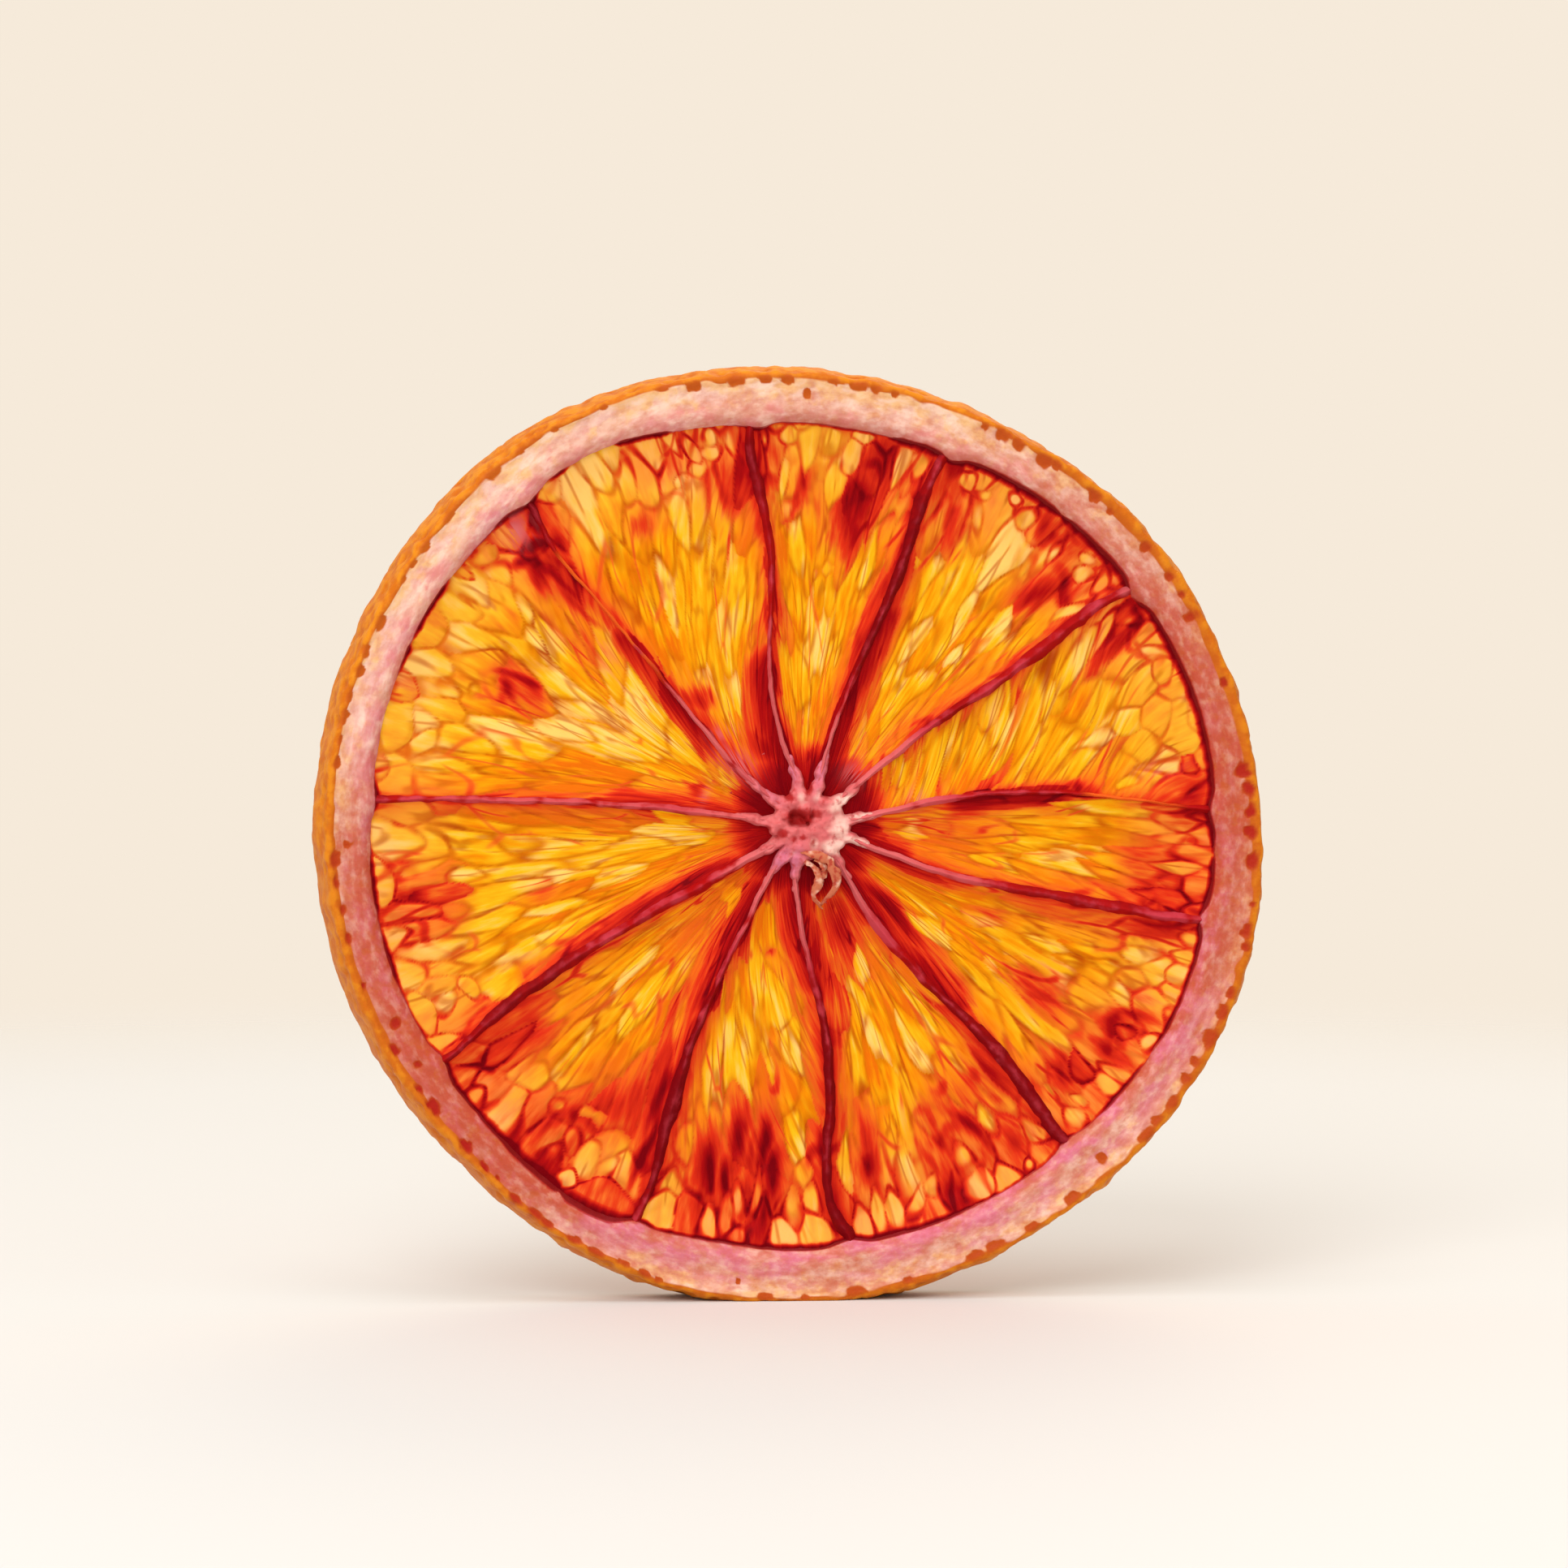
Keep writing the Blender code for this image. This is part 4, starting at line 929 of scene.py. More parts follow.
def geometry_tree(name, *sizes):
    """A geometry tree, the geometry that comes in, and a Value for each of its named inputs."""
    tree = bpy.data.node_groups.new(name, "GeometryNodeTree")
    tree.interface.new_socket("Geometry", in_out="INPUT", socket_type="NodeSocketGeometry")
    for size in sizes:
        tree.interface.new_socket(size, in_out="INPUT", socket_type="NodeSocketFloat")
    tree.interface.new_socket("Geometry", in_out="OUTPUT", socket_type="NodeSocketGeometry")
    outputs = tree.nodes.new("NodeGroupInput").outputs
    return tree, outputs["Geometry"], *(Value(outputs[size]) for size in sizes)


def named_value(tree, name):
    """A mesh attribute's value in a geometry tree."""
    node = add_node(tree, "GeometryNodeInputNamedAttribute", {"Name": name}, data_type="FLOAT")
    return Value(node.outputs[0])


def stored(tree, geometry, name, value):
    """The geometry with a value stored for each point."""
    inputs = {"Geometry": geometry, "Name": name, "Value": value}
    node = add_node(tree, "GeometryNodeStoreNamedAttribute", inputs, data_type="FLOAT", domain="POINT")
    return node.outputs[0]


def moved(tree, geometry, **inputs):
    """The geometry with its points moved to a Position or by an Offset."""
    return add_node(tree, "GeometryNodeSetPosition", {"Geometry": geometry, **inputs}).outputs[0]


def lifted(tree, geometry, lift):
    """The geometry with its points moved out along their normals."""
    normal = add_node(tree, "GeometryNodeInputNormal").outputs[0]
    return moved(tree, geometry, Offset=vector_math(tree, "SCALE", {0: normal, "Scale": lift}))


def close_tree(tree, geometry, material):
    """Ends a tree in Realize Instances and Set Material."""
    real = add_node(tree, "GeometryNodeRealizeInstances", {"Geometry": geometry})
    last = add_node(tree, "GeometryNodeSetMaterial", {"Geometry": real.outputs[0], "Material": material})
    add_node(tree, "NodeGroupOutput", {"Geometry": last.outputs[0]})
    return tree


def run_tree(piece, tree, sizes):
    """Runs a geometry tree on a piece with these sizes, and leaves a plain mesh object."""
    modifier = piece.modifiers.new(tree.name, "NODES")
    modifier.node_group = tree
    sockets = {item.name: item.identifier for item in tree.interface.items_tree if item.in_out == "INPUT"}
    for size, value in sizes.items():
        modifier[sockets[size]] = value
    bpy.context.view_layer.update()
    graph = bpy.context.evaluated_depsgraph_get()
    mesh = bpy.data.meshes.new_from_object(piece.evaluated_get(graph))
    mesh.shade_smooth()
    piece.modifiers.clear()
    old, piece.data = piece.data, mesh
    bpy.data.meshes.remove(old)
    mesh.name = piece.name


# ---------------------------------------------------------------- rind


def lining_depth(angle):
    """How deep the dark line between pith and flesh is, and how dark, from 0 to 1."""
    depth = round_the_turn(LINING, angle) * MM
    return depth, np.clip((depth - LINING_NONE) / (LINING_FULL - LINING_NONE), 0, 1)


def round_noise(tree, along, across):
    """Noise drawn out round the core, of this size along the turn and across it."""
    place = add_node(tree, "ShaderNodeTexCoord").outputs["Object"]
    from_core = vector_math(tree, "SUBTRACT", {0: place, 1: (CORE_X, 0, CORE_HEIGHT)})
    flat = vector_math(tree, "MULTIPLY", {0: from_core, 1: (1, 0, 1)})
    far = Value(vector_math(tree, "LENGTH", {0: flat}, "Value"))
    aim = vector_math(tree, "NORMALIZE", {0: flat})
    aim = vector_math(tree, "SCALE", {0: aim, "Scale": RIM_RADIUS / along})
    level = add_node(tree, "ShaderNodeCombineXYZ", {"Y": far * (1 / across)}).outputs[0]
    return noise_at(tree, vector_math(tree, "ADD", {0: aim, 1: level}), 1.0, 3)


def rind_material(colours):
    """Pith by how far out it is, its blush and its lilac, and peel over it where skin is 1."""
    material, tree, shader = new_material("dried_rind")
    across, skin, rise, gland, cut_gland, lining, blush, lilac = read(
        tree, "across", "skin", "rise", "gland", "cut_gland", "lining", "blush", "lilac")
    coarse, middle = object_noise(tree, 2.4 * MM, 3), object_noise(tree, 0.9 * MM, 3)
    mottle, fine = object_noise(tree, 0.50 * MM, 2), object_noise(tree, 0.28 * MM, 3)
    cloud, streak = round_noise(tree, 2.0 * MM, 0.8 * MM), round_noise(tree, 1.0 * MM, 0.5 * MM)
    patch = round_noise(tree, 3.0 * MM, 1.3 * MM) + swing(mottle, 0.30)
    outward = across + swing(coarse, 1.7) + swing(mottle, 0.9)
    warm = across + swing(middle, 1.6)
    stain = blush + swing(coarse, 1.0) + swing(mottle, 0.8) + (0.45 - across) * 0.5
    foot = 1 - ramp(rise + swing(middle, 0.5), -0.15, 0.80)
    pith = layered(
        tree,
        mixed(tree, ramp(outward, -0.05, 0.50), colours.pith_pink, colours.pith),
        (ramp(warm, 0.34, 0.80) * 0.80, colours.cream),
        (ramp(cloud, 0.48, 0.66) * 0.75, colours.pith_white),
        (ramp(stain, -0.05, 1.15) * 0.95, colours.pith_mauve),
        (ramp(patch, 0.42, 0.62) * lilac * (1.1 - across), colours.pith_lilac),
        (ramp(mottle, 0.52, 0.70) * 0.12, colours.cream),
        (ramp(streak, 0.46, 0.74) * (blush * -0.22 + 0.42), colours.pith_white),
        (ramp(1 - streak, 0.48, 0.70) * (blush * 0.32 + 0.18), colours.pith_mauve),
        (ramp(1 - middle, 0.54, 0.68) * 0.35 * blush, colours.gland),
        (ramp(lining, 0.05, 0.45) * 0.8, colours.crimson),
        (ramp(lining, 0.45, 0.85) * 0.8, colours.maroon),
    )
    peel = layered(
        tree,
        mixed(tree, ramp(middle, 0.38, 0.62), colours.peel, colours.peel_light),
        (gland * 0.5, colours.gland),
        (foot * 0.9, colours.gland),
        (blush * 0.22, colours.gland),
        (cut_gland * blush * 0.8, colours.crimson),
    )
    colour = mixed(tree, ramp(skin, 0.25, 0.75), pith, peel)
    lay_skin(shader, colour, spread(skin, 0.75, 0.50), 0.12, 0.12, (0.6, 0.3, 0.2), fine, 0.08 * MM, 0.8)
    return material


def peel_relief_tree(material):
    """Pits the skin over its oil glands and roughens the cut rind. Leaves each point's gland value."""
    tree, geometry, spacing, depth, roughness = geometry_tree(
        "Peel relief", "Gland Spacing", "Gland Depth", "Pith Grain")
    place = add_node(tree, "GeometryNodeInputPosition").outputs[0]
    inputs = {"Vector": place, "Scale": 1 / spacing, "Randomness": 0.85}
    cells = add_node(tree, "ShaderNodeTexVoronoi", inputs)
    pit = 1 - ramp(Value(cells.outputs["Distance"]), 0.12, 0.52)
    pits = combined("MAXIMUM", pit * named_value(tree, "outside"), named_value(tree, "cut_gland") * 0.6)
    lift = swing(noise_at(tree, place, 0.9 * MM, 4), 2.4) * roughness - pits * depth
    return close_tree(tree, lifted(tree, stored(tree, geometry, "gland", pit), lift), material)


def cut_glands(angle, inward, y):
    """How far into a cut gland each point is, from 0 to 1. The two faces have glands of their own."""
    found = np.zeros_like(inward)
    band = round_the_turn(PEEL_BAND, angle) * MM
    place = angle / TAU * GLANDS
    number = np.floor(place).astype(int)
    for face in (-1, 1):
        shift, drop, size, seen = np.random.default_rng(GLAND_SEED + face).uniform(-1, 1, (4, GLANDS))
        uneven = 0.35 * grain((9, face + 1), angle / TAU * FINE_CELLS * 3, inward / (0.35 * MM))
        for step in (-1, 0, 1):
            gland = (number + step) % GLANDS
            deep = seen[gland] > DEEP_GLAND
            aside = place - (number + step + 0.5 + GLAND_SHIFT * shift[gland])
            across = aside * TAU / GLANDS * RIM_RADIUS
            across = across / (GLAND_HALF_WIDTH * (1 + 0.45 * size[gland]) * (1 - 0.35 * deep))
            along = inward - band - GLAND_DROP * drop[gland] - DEEP_GLAND_DROP * deep
            along = along / (GLAND_HALF_LENGTH * (1 + 0.40 * size[gland]))
            far = np.abs(across) ** GLAND_ROUNDNESS + np.abs(along) ** GLAND_ROUNDNESS
            spot = 1 - smoothstep(0.45, 1.25, far ** (1 / GLAND_ROUNDNESS) + uneven)
            found = np.maximum(found, spot * (seen[gland] > NO_GLAND) * (y * face > 0))
    return found


def rind_grid():
    """The rind's section, laid out round the turn: share of the way from pulp to rim, angle and y."""
    width = RIM_RADIUS - PULP_RADIUS
    front = smooth_path([(share * width, -height * MM) for share, height in RIND_SECTION], RIND_STEP)
    outward, y = np.concatenate([front, [(RIND_BACK * width, 0.0)], front[::-1] * (1, -1)]).T
    angle = np.linspace(0, TAU, RIND_TURN_STEPS, endpoint=False)[:, None]
    return np.broadcast_arrays(outward / width, angle, y)


class SLICE_OT_rind(bpy.types.Operator):
    """Builds the rind: pitted peel outside, dry pith inside, and the dark lining of the pulp"""

    bl_idname = "dried_slice.rind"
    bl_label = "Rind"

    def execute(self, context):
        sizes, colours = context.scene.slice_sizes, context.scene.slice_colours
        share, angle, y = rind_grid()
        edge = pulp_edge(angle)
        width = rim_edge(angle) - edge
        fine, coarse = angle / TAU * FINE_CELLS, angle / TAU * COARSE_CELLS
        outer = smoothstep(0.6, 0.95, share)
        lump = grain(7, fine, y / (1.6 * MM)) + grain(8, coarse, y / (4 * MM))
        radius = edge + share * width + outer * rim_flare(angle) * y / RIM_THICKNESS
        points = in_frame(radius + outer * SKIN_LUMP * lump, angle, y)
        points[..., 2] = np.maximum(points[..., 2], RIND_FOOT)
        inward = (1 - share) * width
        band = round_the_turn(PEEL_BAND, angle) * MM
        ragged = band + PEEL_RAGGED_FINE * grain(5, fine, np.sign(y))
        ragged = ragged + PEEL_RAGGED_COARSE * grain(6, coarse, np.sign(y))
        peel = 1 - smoothstep(ragged - PEEL_SOFT, ragged + PEEL_SOFT, inward)
        cut_gland = cut_glands(angle, inward, y)
        depth, dark = lining_depth(angle)
        inside = share * width / np.maximum(LINING_ON_PITH * depth, 0.08 * MM)
        values = {
            "across": share,
            "outside": smoothstep(0.93, 0.985, share),
            "skin": np.maximum(peel, cut_gland),
            "rise": 1 - inward / band - 0.5 * cut_gland,
            "cut_gland": cut_gland,
            "lining": dark * (1 - smoothstep(0.6, 1.6, inside)),
            "blush": round_the_turn(PITH_BLUSH, angle),
            "lilac": round_the_turn(PITH_LILAC, angle),
        }
        piece = mesh_piece("rind", points, ring_faces(*share.shape, wrap_rows=True), values)
        run_tree(piece, peel_relief_tree(rind_material(colours)), {
            "Gland Spacing": sizes.gland_spacing,
            "Gland Depth": sizes.gland_depth,
            "Pith Grain": sizes.pith_grain,
        })
        finish_piece(piece)
        return {"FINISHED"}


# ---------------------------------------------------------------- pulp


def sac_lean(first, share, radius):
    """How far the sacs of a segment lean from straight out, at this share of the way across it."""
    lean = np.interp(share, (0, 1), SAC_LEANS[first])
    return np.radians(lean) * (1 - 0.7 * smoothstep(LEAN_RADIUS - 4 * MM, LEAN_RADIUS + 2 * MM, radius))


def segment_sacs(first, random):
    """The sacs of one segment, each as x and z from the core, half length, half width, heading, lift, tone
    and redness. A redness under 0 leaves a sac as red as its place.
    """
    cells = []
    for degrees, distance, half_length, half_width, turn, red, tone in CELLS:
        angle, distance = math.radians(degrees), distance * MM
        start, span = segment_span(first, distance)
        if (angle - start) % TAU < span:
            cells.append((*flat_place(distance, angle), half_length * MM, half_width * MM,
                          angle + math.radians(turn), CELL_LIFT, CELL_TONE * tone, CELL_RED * red))
    sacs = []
    for row, (radius, length, across) in enumerate(SAC_ROWS):
        radius, length = radius * MM, length * MM
        start, span = segment_span(first, radius)
        width = radius * span / across
        for place in np.arange(-0.5 * (row % 2), across + 0.5, 1.0):
            shift = random.uniform(-1, 1, 6)
            share = (place + 0.5 + SAC_SHIFT * shift[0]) / across
            angle = start + span * share
            distance = radius + SAC_SHIFT * length * shift[1]
            heading = angle + sac_lean(first, share, distance) + SAC_TURN * shift[4]
            tone = 0.14 + 0.46 * random.uniform() + SAC_TONES[first]
            x, z = flat_place(distance, angle)
            if all(sac_distance(cell, x, z)[0] > CELL_ROOM for cell in cells):
                sacs.append((x, z, length / 2 * (1 + 0.3 * shift[2]), width / 2 * (1 + 0.25 * shift[3]),
                             heading, 0.22 * shift[5], tone, -1))
    return np.array(sacs + cells)


def sac_distance(sac, x, z):
    """How far points are from a sac's middle, in sacs, and how far along it."""
    middle_x, middle_z, half_length, half_width, heading = sac[:5]
    dx, dz = x - middle_x, z - middle_z
    along = (dx * math.cos(heading) + dz * math.sin(heading)) / half_length
    aside = (dz * math.cos(heading) - dx * math.sin(heading)) / half_width
    taper = 0.75 + 0.25 * np.clip(along, -1, 1)
    return np.sqrt(along**2 + (aside / taper) ** 2), along


def nearest_sacs(sacs, x, z):
    """For each point: which sac it is on, how far from that sac's edge it is, and its place along the sac."""
    best, second = np.full_like(x, 1e9), np.full_like(x, 1e9)
    owner, place = np.zeros(x.shape, int), np.zeros_like(x)
    for number, sac in enumerate(sacs):
        far, along = sac_distance(sac, x, z)
        far = far - sac[5]
        nearer = far < best
        second = np.where(nearer, best, np.minimum(second, far))
        best = np.where(nearer, far, best)
        owner = np.where(nearer, number, owner)
        place = np.where(nearer, along, place)
    return owner, (second - best) / 2 * sacs[owner, 3], place


def wall_look(wall, radius):
    """A wall's width, how pink it is and how dark, at these distances from the core."""
    places, *looks = zip(*WALL_LOOKS[wall])
    return [np.interp(radius / MM, places, look) for look in looks]


def stained(radius, angle, ragged):
    """How red the flesh is at each point, from 0 to 1. The stains' ends follow the ragged distance."""
    x, z = flat_place(ragged, angle)
    red = STAIN_SHARE * blots(STAINS, x, z) + HALO_SHARE * blots(STAIN_HALOES, x, z)
    for wall, side, *span, strength in FLANKS:
        low, high, width = MM * np.array(span)
        aside = side * turned(angle - wall_angle(wall, radius)) * radius
        reach = smoothstep(low + FLANK_START[0], low + FLANK_START[1], ragged)
        reach = reach * (1 - smoothstep(high - FLANK_END, high, ragged))
        near = falloff(np.clip(aside, 0, None), width) * (aside > -FLANK_OVER)
        red = np.maximum(red, strength * reach * near)
    for wall in range(len(WALLS)):
        aside = np.abs(turned(angle - wall_angle(wall, radius))) * radius
        dark = 0.45 + 0.75 * np.clip(wall_look(wall, radius)[2], 0, 1)
        red = np.maximum(red, dark * sum(share * falloff(aside, width) for share, width in WALL_REDS))
    rim = round_the_turn(RIM_BLUSH, angle)
    fade = (1.5 + 6.0 * rim) * MM
    blush = 1 - smoothstep(0.15 * fade, fade, pulp_edge(angle) - ragged)
    red = np.maximum(red, 0.40 * rim * blush + 0.60 * red)
    red = red + blots(BLUSHES, *flat_place(radius, angle)) * (1 - red)
    return np.maximum(red, 0.95 * (1 - smoothstep(0.58 * CORE_STAIN, CORE_STAIN, radius)))


def lining_red(radius, angle):
    """How much of the dark line beside the pith shows on the flesh, from 0 to 1."""
    depth, dark = lining_depth(angle)
    width = np.maximum((1 - LINING_ON_PITH) * depth, 0.10 * MM)
    return 0.95 * dark * falloff(np.clip(pulp_edge(angle) - radius, 0, None), width)


def flow_place(tree, flow, scale):
    """The flow coordinates with this many cells to a millimetre across the flow and along it."""
    return add_node(tree, "ShaderNodeMapping", {"Vector": flow, "Scale": (*scale, 1)}).outputs[0]


def flow_noise(tree, flow, scale, detail):
    return noise_at(tree, flow_place(tree, flow, scale), 1.0, detail, noise_dimensions="2D")


def flow_threads(tree, flow, scale, warp, low, high):
    """1 on a net of thin lines drawn out along the flow, 0 off it."""
    place = flow_place(tree, flow, scale)
    noise = add_node(tree, "ShaderNodeTexNoise", {"Vector": place, "Scale": 0.8, "Detail": 0.0})
    bent = vector_math(tree, "MULTIPLY_ADD", {0: noise.outputs["Color"], 1: (warp, warp, 0), 2: place})
    cells = add_node(tree, "ShaderNodeTexVoronoi", {"Vector": bent, "Scale": 1.0},
                     feature="DISTANCE_TO_EDGE", voronoi_dimensions="2D")
    return 1 - ramp(Value(cells.outputs["Distance"]), low, high)


def pulp_material(colours):
    """Flesh by its tone, with painted shade deepening each sac towards its creases, lines between the sacs,
    and stains over it by how red and how veined it is.
    """
    material, tree, shader = new_material("dried_pulp")
    dome, gap, tone, red = read(tree, "dome", "gap", "tone", "red")
    pale, veined, seam = read(tree, "pale", "veined", "seam")
    flow = add_node(tree, "ShaderNodeUVMap", uv_map="flow").outputs[0]
    streak, cloud = flow_noise(tree, flow, (2.6, 0.30), 3), flow_noise(tree, flow, (0.7, 0.30), 2)
    where_net = ramp(flow_noise(tree, flow, (0.35, 0.16), 2), 0.50, 0.64)
    broken = ramp(flow_noise(tree, flow, (0.8, 0.5), 1), 0.32, 0.62)
    edging = mixed(tree, ramp(red + swing(cloud, 0.9), 0.0, 0.22), colours.ochre, colours.crease)
    fine = flow_threads(tree, flow, (1.3, 0.17), 1.4, 0.02, 0.16) * ramp(cloud, 0.40, 0.58)
    line = (1 - ramp(gap, 0.0, 2.2)) * (broken * 0.75 + 0.25)
    wide_line = (1 - ramp(gap, 0.0, 2.4)) * veined * (broken * 0.8 + 0.2)
    net = flow_threads(tree, flow, (0.70, 0.17), 1.6, 0.01, 0.11) * where_net
    veins = combined("MAXIMUM", net * 0.42, wide_line)
    stain = red + swing(streak, 0.55) * ramp(red, 0.02, 0.25) + veins * 0.62
    flesh = colour_ramp(tone + swing(streak, 0.9) + swing(cloud, 0.9), (0.0, colours.orange),
                        (0.28, colours.amber), (0.60, colours.yellow), (0.95, colours.peach))
    stains = colour_ramp(stain, (0.18, colours.flame), (0.46, colours.scarlet), (0.70, colours.crimson),
                         (0.97, colours.maroon))
    flesh = layered(
        tree,
        flesh,
        # Painted shade: each sac's flanks, down towards its creases, are laid over with orange, so its middle
        # stays paler as though lit through.
        ((1 - ramp(dome, 0.05, 0.80)) * 0.45, colours.orange),
        (veined * 0.55, colours.salmon),
        (fine * 0.62, edging),
        (line * seam, edging),
        (ramp(stain, 0.02, 0.42), stains),
        (pale * ramp(streak, 0.40, 0.60), colours.fibre),
    )
    roughness = spread(streak, 0.30, 0.50)
    lay_skin(shader, flesh, roughness, 0.015, 0.15, (0.8, 0.25, 0.05), streak, 0.06 * MM, 0.7)
    return material


def sac_skin_tree(material):
    """Wrinkles the sacs' dried skins."""
    tree, geometry, height, size = geometry_tree("Sac skin", "Wrinkle Height", "Wrinkle Size")
    place = add_node(tree, "GeometryNodeInputPosition").outputs[0]
    lift = swing(noise_at(tree, place, size, 3), 2.0) * height
    return close_tree(tree, lifted(tree, geometry, lift), material)


def segment_face(first, side, sizes):
    """One face of a segment: points, attributes and flow coordinates, as grids of rows by columns."""
    across = np.linspace(0, 1, PULP_COLUMNS)[None, :]
    along = np.linspace(0, 1, PULP_ROWS)[:, None] ** PULP_CROWDING
    rim_start, rim_end = WALLS[first][-1], WALLS[(first + 1) % len(WALLS)][-1]
    reach = pulp_edge(math.radians(rim_start) + math.radians((rim_end - rim_start) % 360) * across)
    reach = reach + PULP_UNDER_RIND
    radius = PULP_START + along * (reach - PULP_START)
    start, span = segment_span(first, radius)
    angle = start + span * across
    seed = (SAC_SEED, first, int(side > 0))
    random = np.random.default_rng(seed)
    sacs = segment_sacs(first, random)
    lean = sac_lean(first, across, radius)
    flow = (angle - np.tan(lean) * np.log(radius / LEAN_RADIUS)) * FLOW_RADIUS

    def wavering(number, wide, long):
        """A random value from -1 to 1, in cells this wide and long along the flow, in mm."""
        return grain((*seed, number), flow / wide, radius / (long * MM))

    away = smoothstep(*WANDER_FROM, radius)
    bent_angle = angle + away * WANDER_ROUND * wavering(1, 1.4, 2.6) / radius
    bent_radius = radius + away * WANDER_OUT * wavering(2, 1.6, 2)
    ragged = bent_radius + away * STAIN_WANDER * wavering(3, 0.8, 6)
    owner, from_edge, place = nearest_sacs(sacs, *flat_place(bent_radius, bent_angle))
    width = sacs[owner, 3]
    dome = np.sqrt(1 - (1 - np.clip(from_edge / (DOME_SHARE * width), 0, 1)) ** 2)
    aside = np.minimum(across, 1 - across) * span * radius
    climb = np.maximum(falloff(aside, CLIMB_AT_WALL), smoothstep(-CLIMB_AT_PITH, 0.0, radius - reach))
    climb = np.maximum(climb, 1 - smoothstep(*CLIMB_AT_CORE, radius))
    rimward = smoothstep(*VEINED_FROM, radius - reach)
    outer = smoothstep(*OUTER_FLESH, radius)
    small = np.clip(width / MM, DOME_LEAST, DOME_MOST) * (0.6 + 0.4 * outer)
    height = PULP_HALF + PULP_CLIMB * climb + sizes.sac_height * dome * small * (1 - 0.5 * climb)
    sac_radius, sac_angle = np.hypot(sacs[:, 0], sacs[:, 1]), np.arctan2(sacs[:, 1], sacs[:, 0])
    scatter = random.normal(-0.25, 1, len(sacs)) * (0.05 + 0.05 * smoothstep(17 * MM, 25 * MM, sac_radius))
    sac_red = np.clip(stained(sac_radius, sac_angle, sac_radius) + scatter, 0, 1)[owner]
    place_red = stained(radius, bent_angle, ragged)
    red = np.clip((1 - SAC_RED_SHARE) * place_red + SAC_RED_SHARE * sac_red, 0, 1)
    set_red = sacs[owner, 7]
    red = np.where(set_red >= 0, np.minimum(1, set_red + 0.7 * red * (1 - 0.92 * dome)), red)
    tone = sacs[owner, 6] + TONE_ALONG * place + TONE_RIMWARD * rimward
    tone = tone + TONE_PATCHES * wavering(4, 2.6, 5) + TONE_AT_WALL * falloff(aside, TONE_WALL_WIDTH)
    crease = sizes.sac_crease * np.clip(width / (0.8 * MM), 0.5, 1)
    values = {
        "dome": dome,
        "gap": np.clip(from_edge / crease, 0, 8),
        "tone": tone,
        "red": np.maximum(red, lining_red(radius, bent_angle)),
        "veined": rimward * (0.18 + 1.2 * round_the_turn(RIM_BLUSH, angle)),
        "seam": 0.60 + 0.34 * outer,
        "pale": blots(TATTERS, *flat_place(radius, angle)),
    }
    return in_frame(radius, angle, side * height), values, np.stack([flow, radius / MM], axis=-1)


def lay_flow(mesh, flow):
    """Stores the flow coordinates as the mesh's own UV map."""
    layer = mesh.uv_layers.new(name="flow")
    corners = np.empty(len(mesh.loops), np.int32)
    mesh.loops.foreach_get("vertex_index", corners)
    layer.data.foreach_set("uv", flow.reshape(-1, 2)[corners].astype(np.float32).ravel())


def both_faces(front, back):
    """Rings that run over the front grid and back over the back one."""
    return np.concatenate([front, back[:, ::-1]], axis=1)


class SLICE_OT_pulp(bpy.types.Operator):
    """Builds the pulp of each segment, with its dried juice sacs on both faces"""

    bl_idname = "dried_slice.pulp"
    bl_label = "Pulp"

    def execute(self, context):
        sizes, colours = context.scene.slice_sizes, context.scene.slice_colours
        tree = sac_skin_tree(pulp_material(colours))
        faces = slab_faces(PULP_ROWS, 2 * PULP_COLUMNS)
        for first in range(len(WALLS)):
            front, front_values, front_flow = segment_face(first, -1, sizes)
            back, back_values, back_flow = segment_face(first, 1, sizes)
            values = {name: both_faces(front_values[name], back_values[name]) for name in front_values}
            piece = mesh_piece(f"pulp_{first + 1:02d}", both_faces(front, back), faces, values)
            lay_flow(piece.data, both_faces(front_flow, back_flow))
            run_tree(piece, tree, {"Wrinkle Height": sizes.skin_wrinkle, "Wrinkle Size": sizes.wrinkle_size})
            finish_piece(piece)
        return {"FINISHED"}


# ---------------------------------------------------------------- walls


def wall_material(colours):
    """Dark red, with pale dry stretches where a wall is pink, clear orange ones where dark is under 0, and a
    pale line in patches along the crest that is partly dry crest and partly painted highlight.
    """
    material, tree, shader = new_material("dried_wall")
    crest, pink, dark = read(tree, "crest", "pink", "dark")
    noise, patch = object_noise(tree, 0.8 * MM, 3), object_noise(tree, 1.8 * MM, 1)
    clear = 0 - dark
    dry = crest * 0.6 + (pink - 0.5) + swing(noise, 0.7) + swing(patch, 1.3)
    # Partly painted highlight, partly the crest's own dry paleness: a pale line in patches along the very top
    # of the fin.
    ridge = ramp(crest + swing(noise, 0.7), 0.84, 1.08) * 0.40 * ramp(patch, 0.36, 0.56)
    colour = layered(
        tree,
        mixed(tree, ramp(dark + swing(noise, 1.0), 0.0, 0.9), colours.crimson, colours.maroon),
        (ramp(clear, 0.0, 0.7), colours.flame),
        (ridge * (1 - ramp(clear, 0.0, 0.3)), colours.crest),
        (ramp(dry, 0.42, 0.86), mixed(tree, ramp(pink, 0.60, 0.95), colours.crest, colours.fibre)),
    )
    lay_skin(shader, colour, 0.5, 0.05, 0.10, (0.4, 0.06, 0.06), noise, 0.06 * MM, 0.8)
    return material


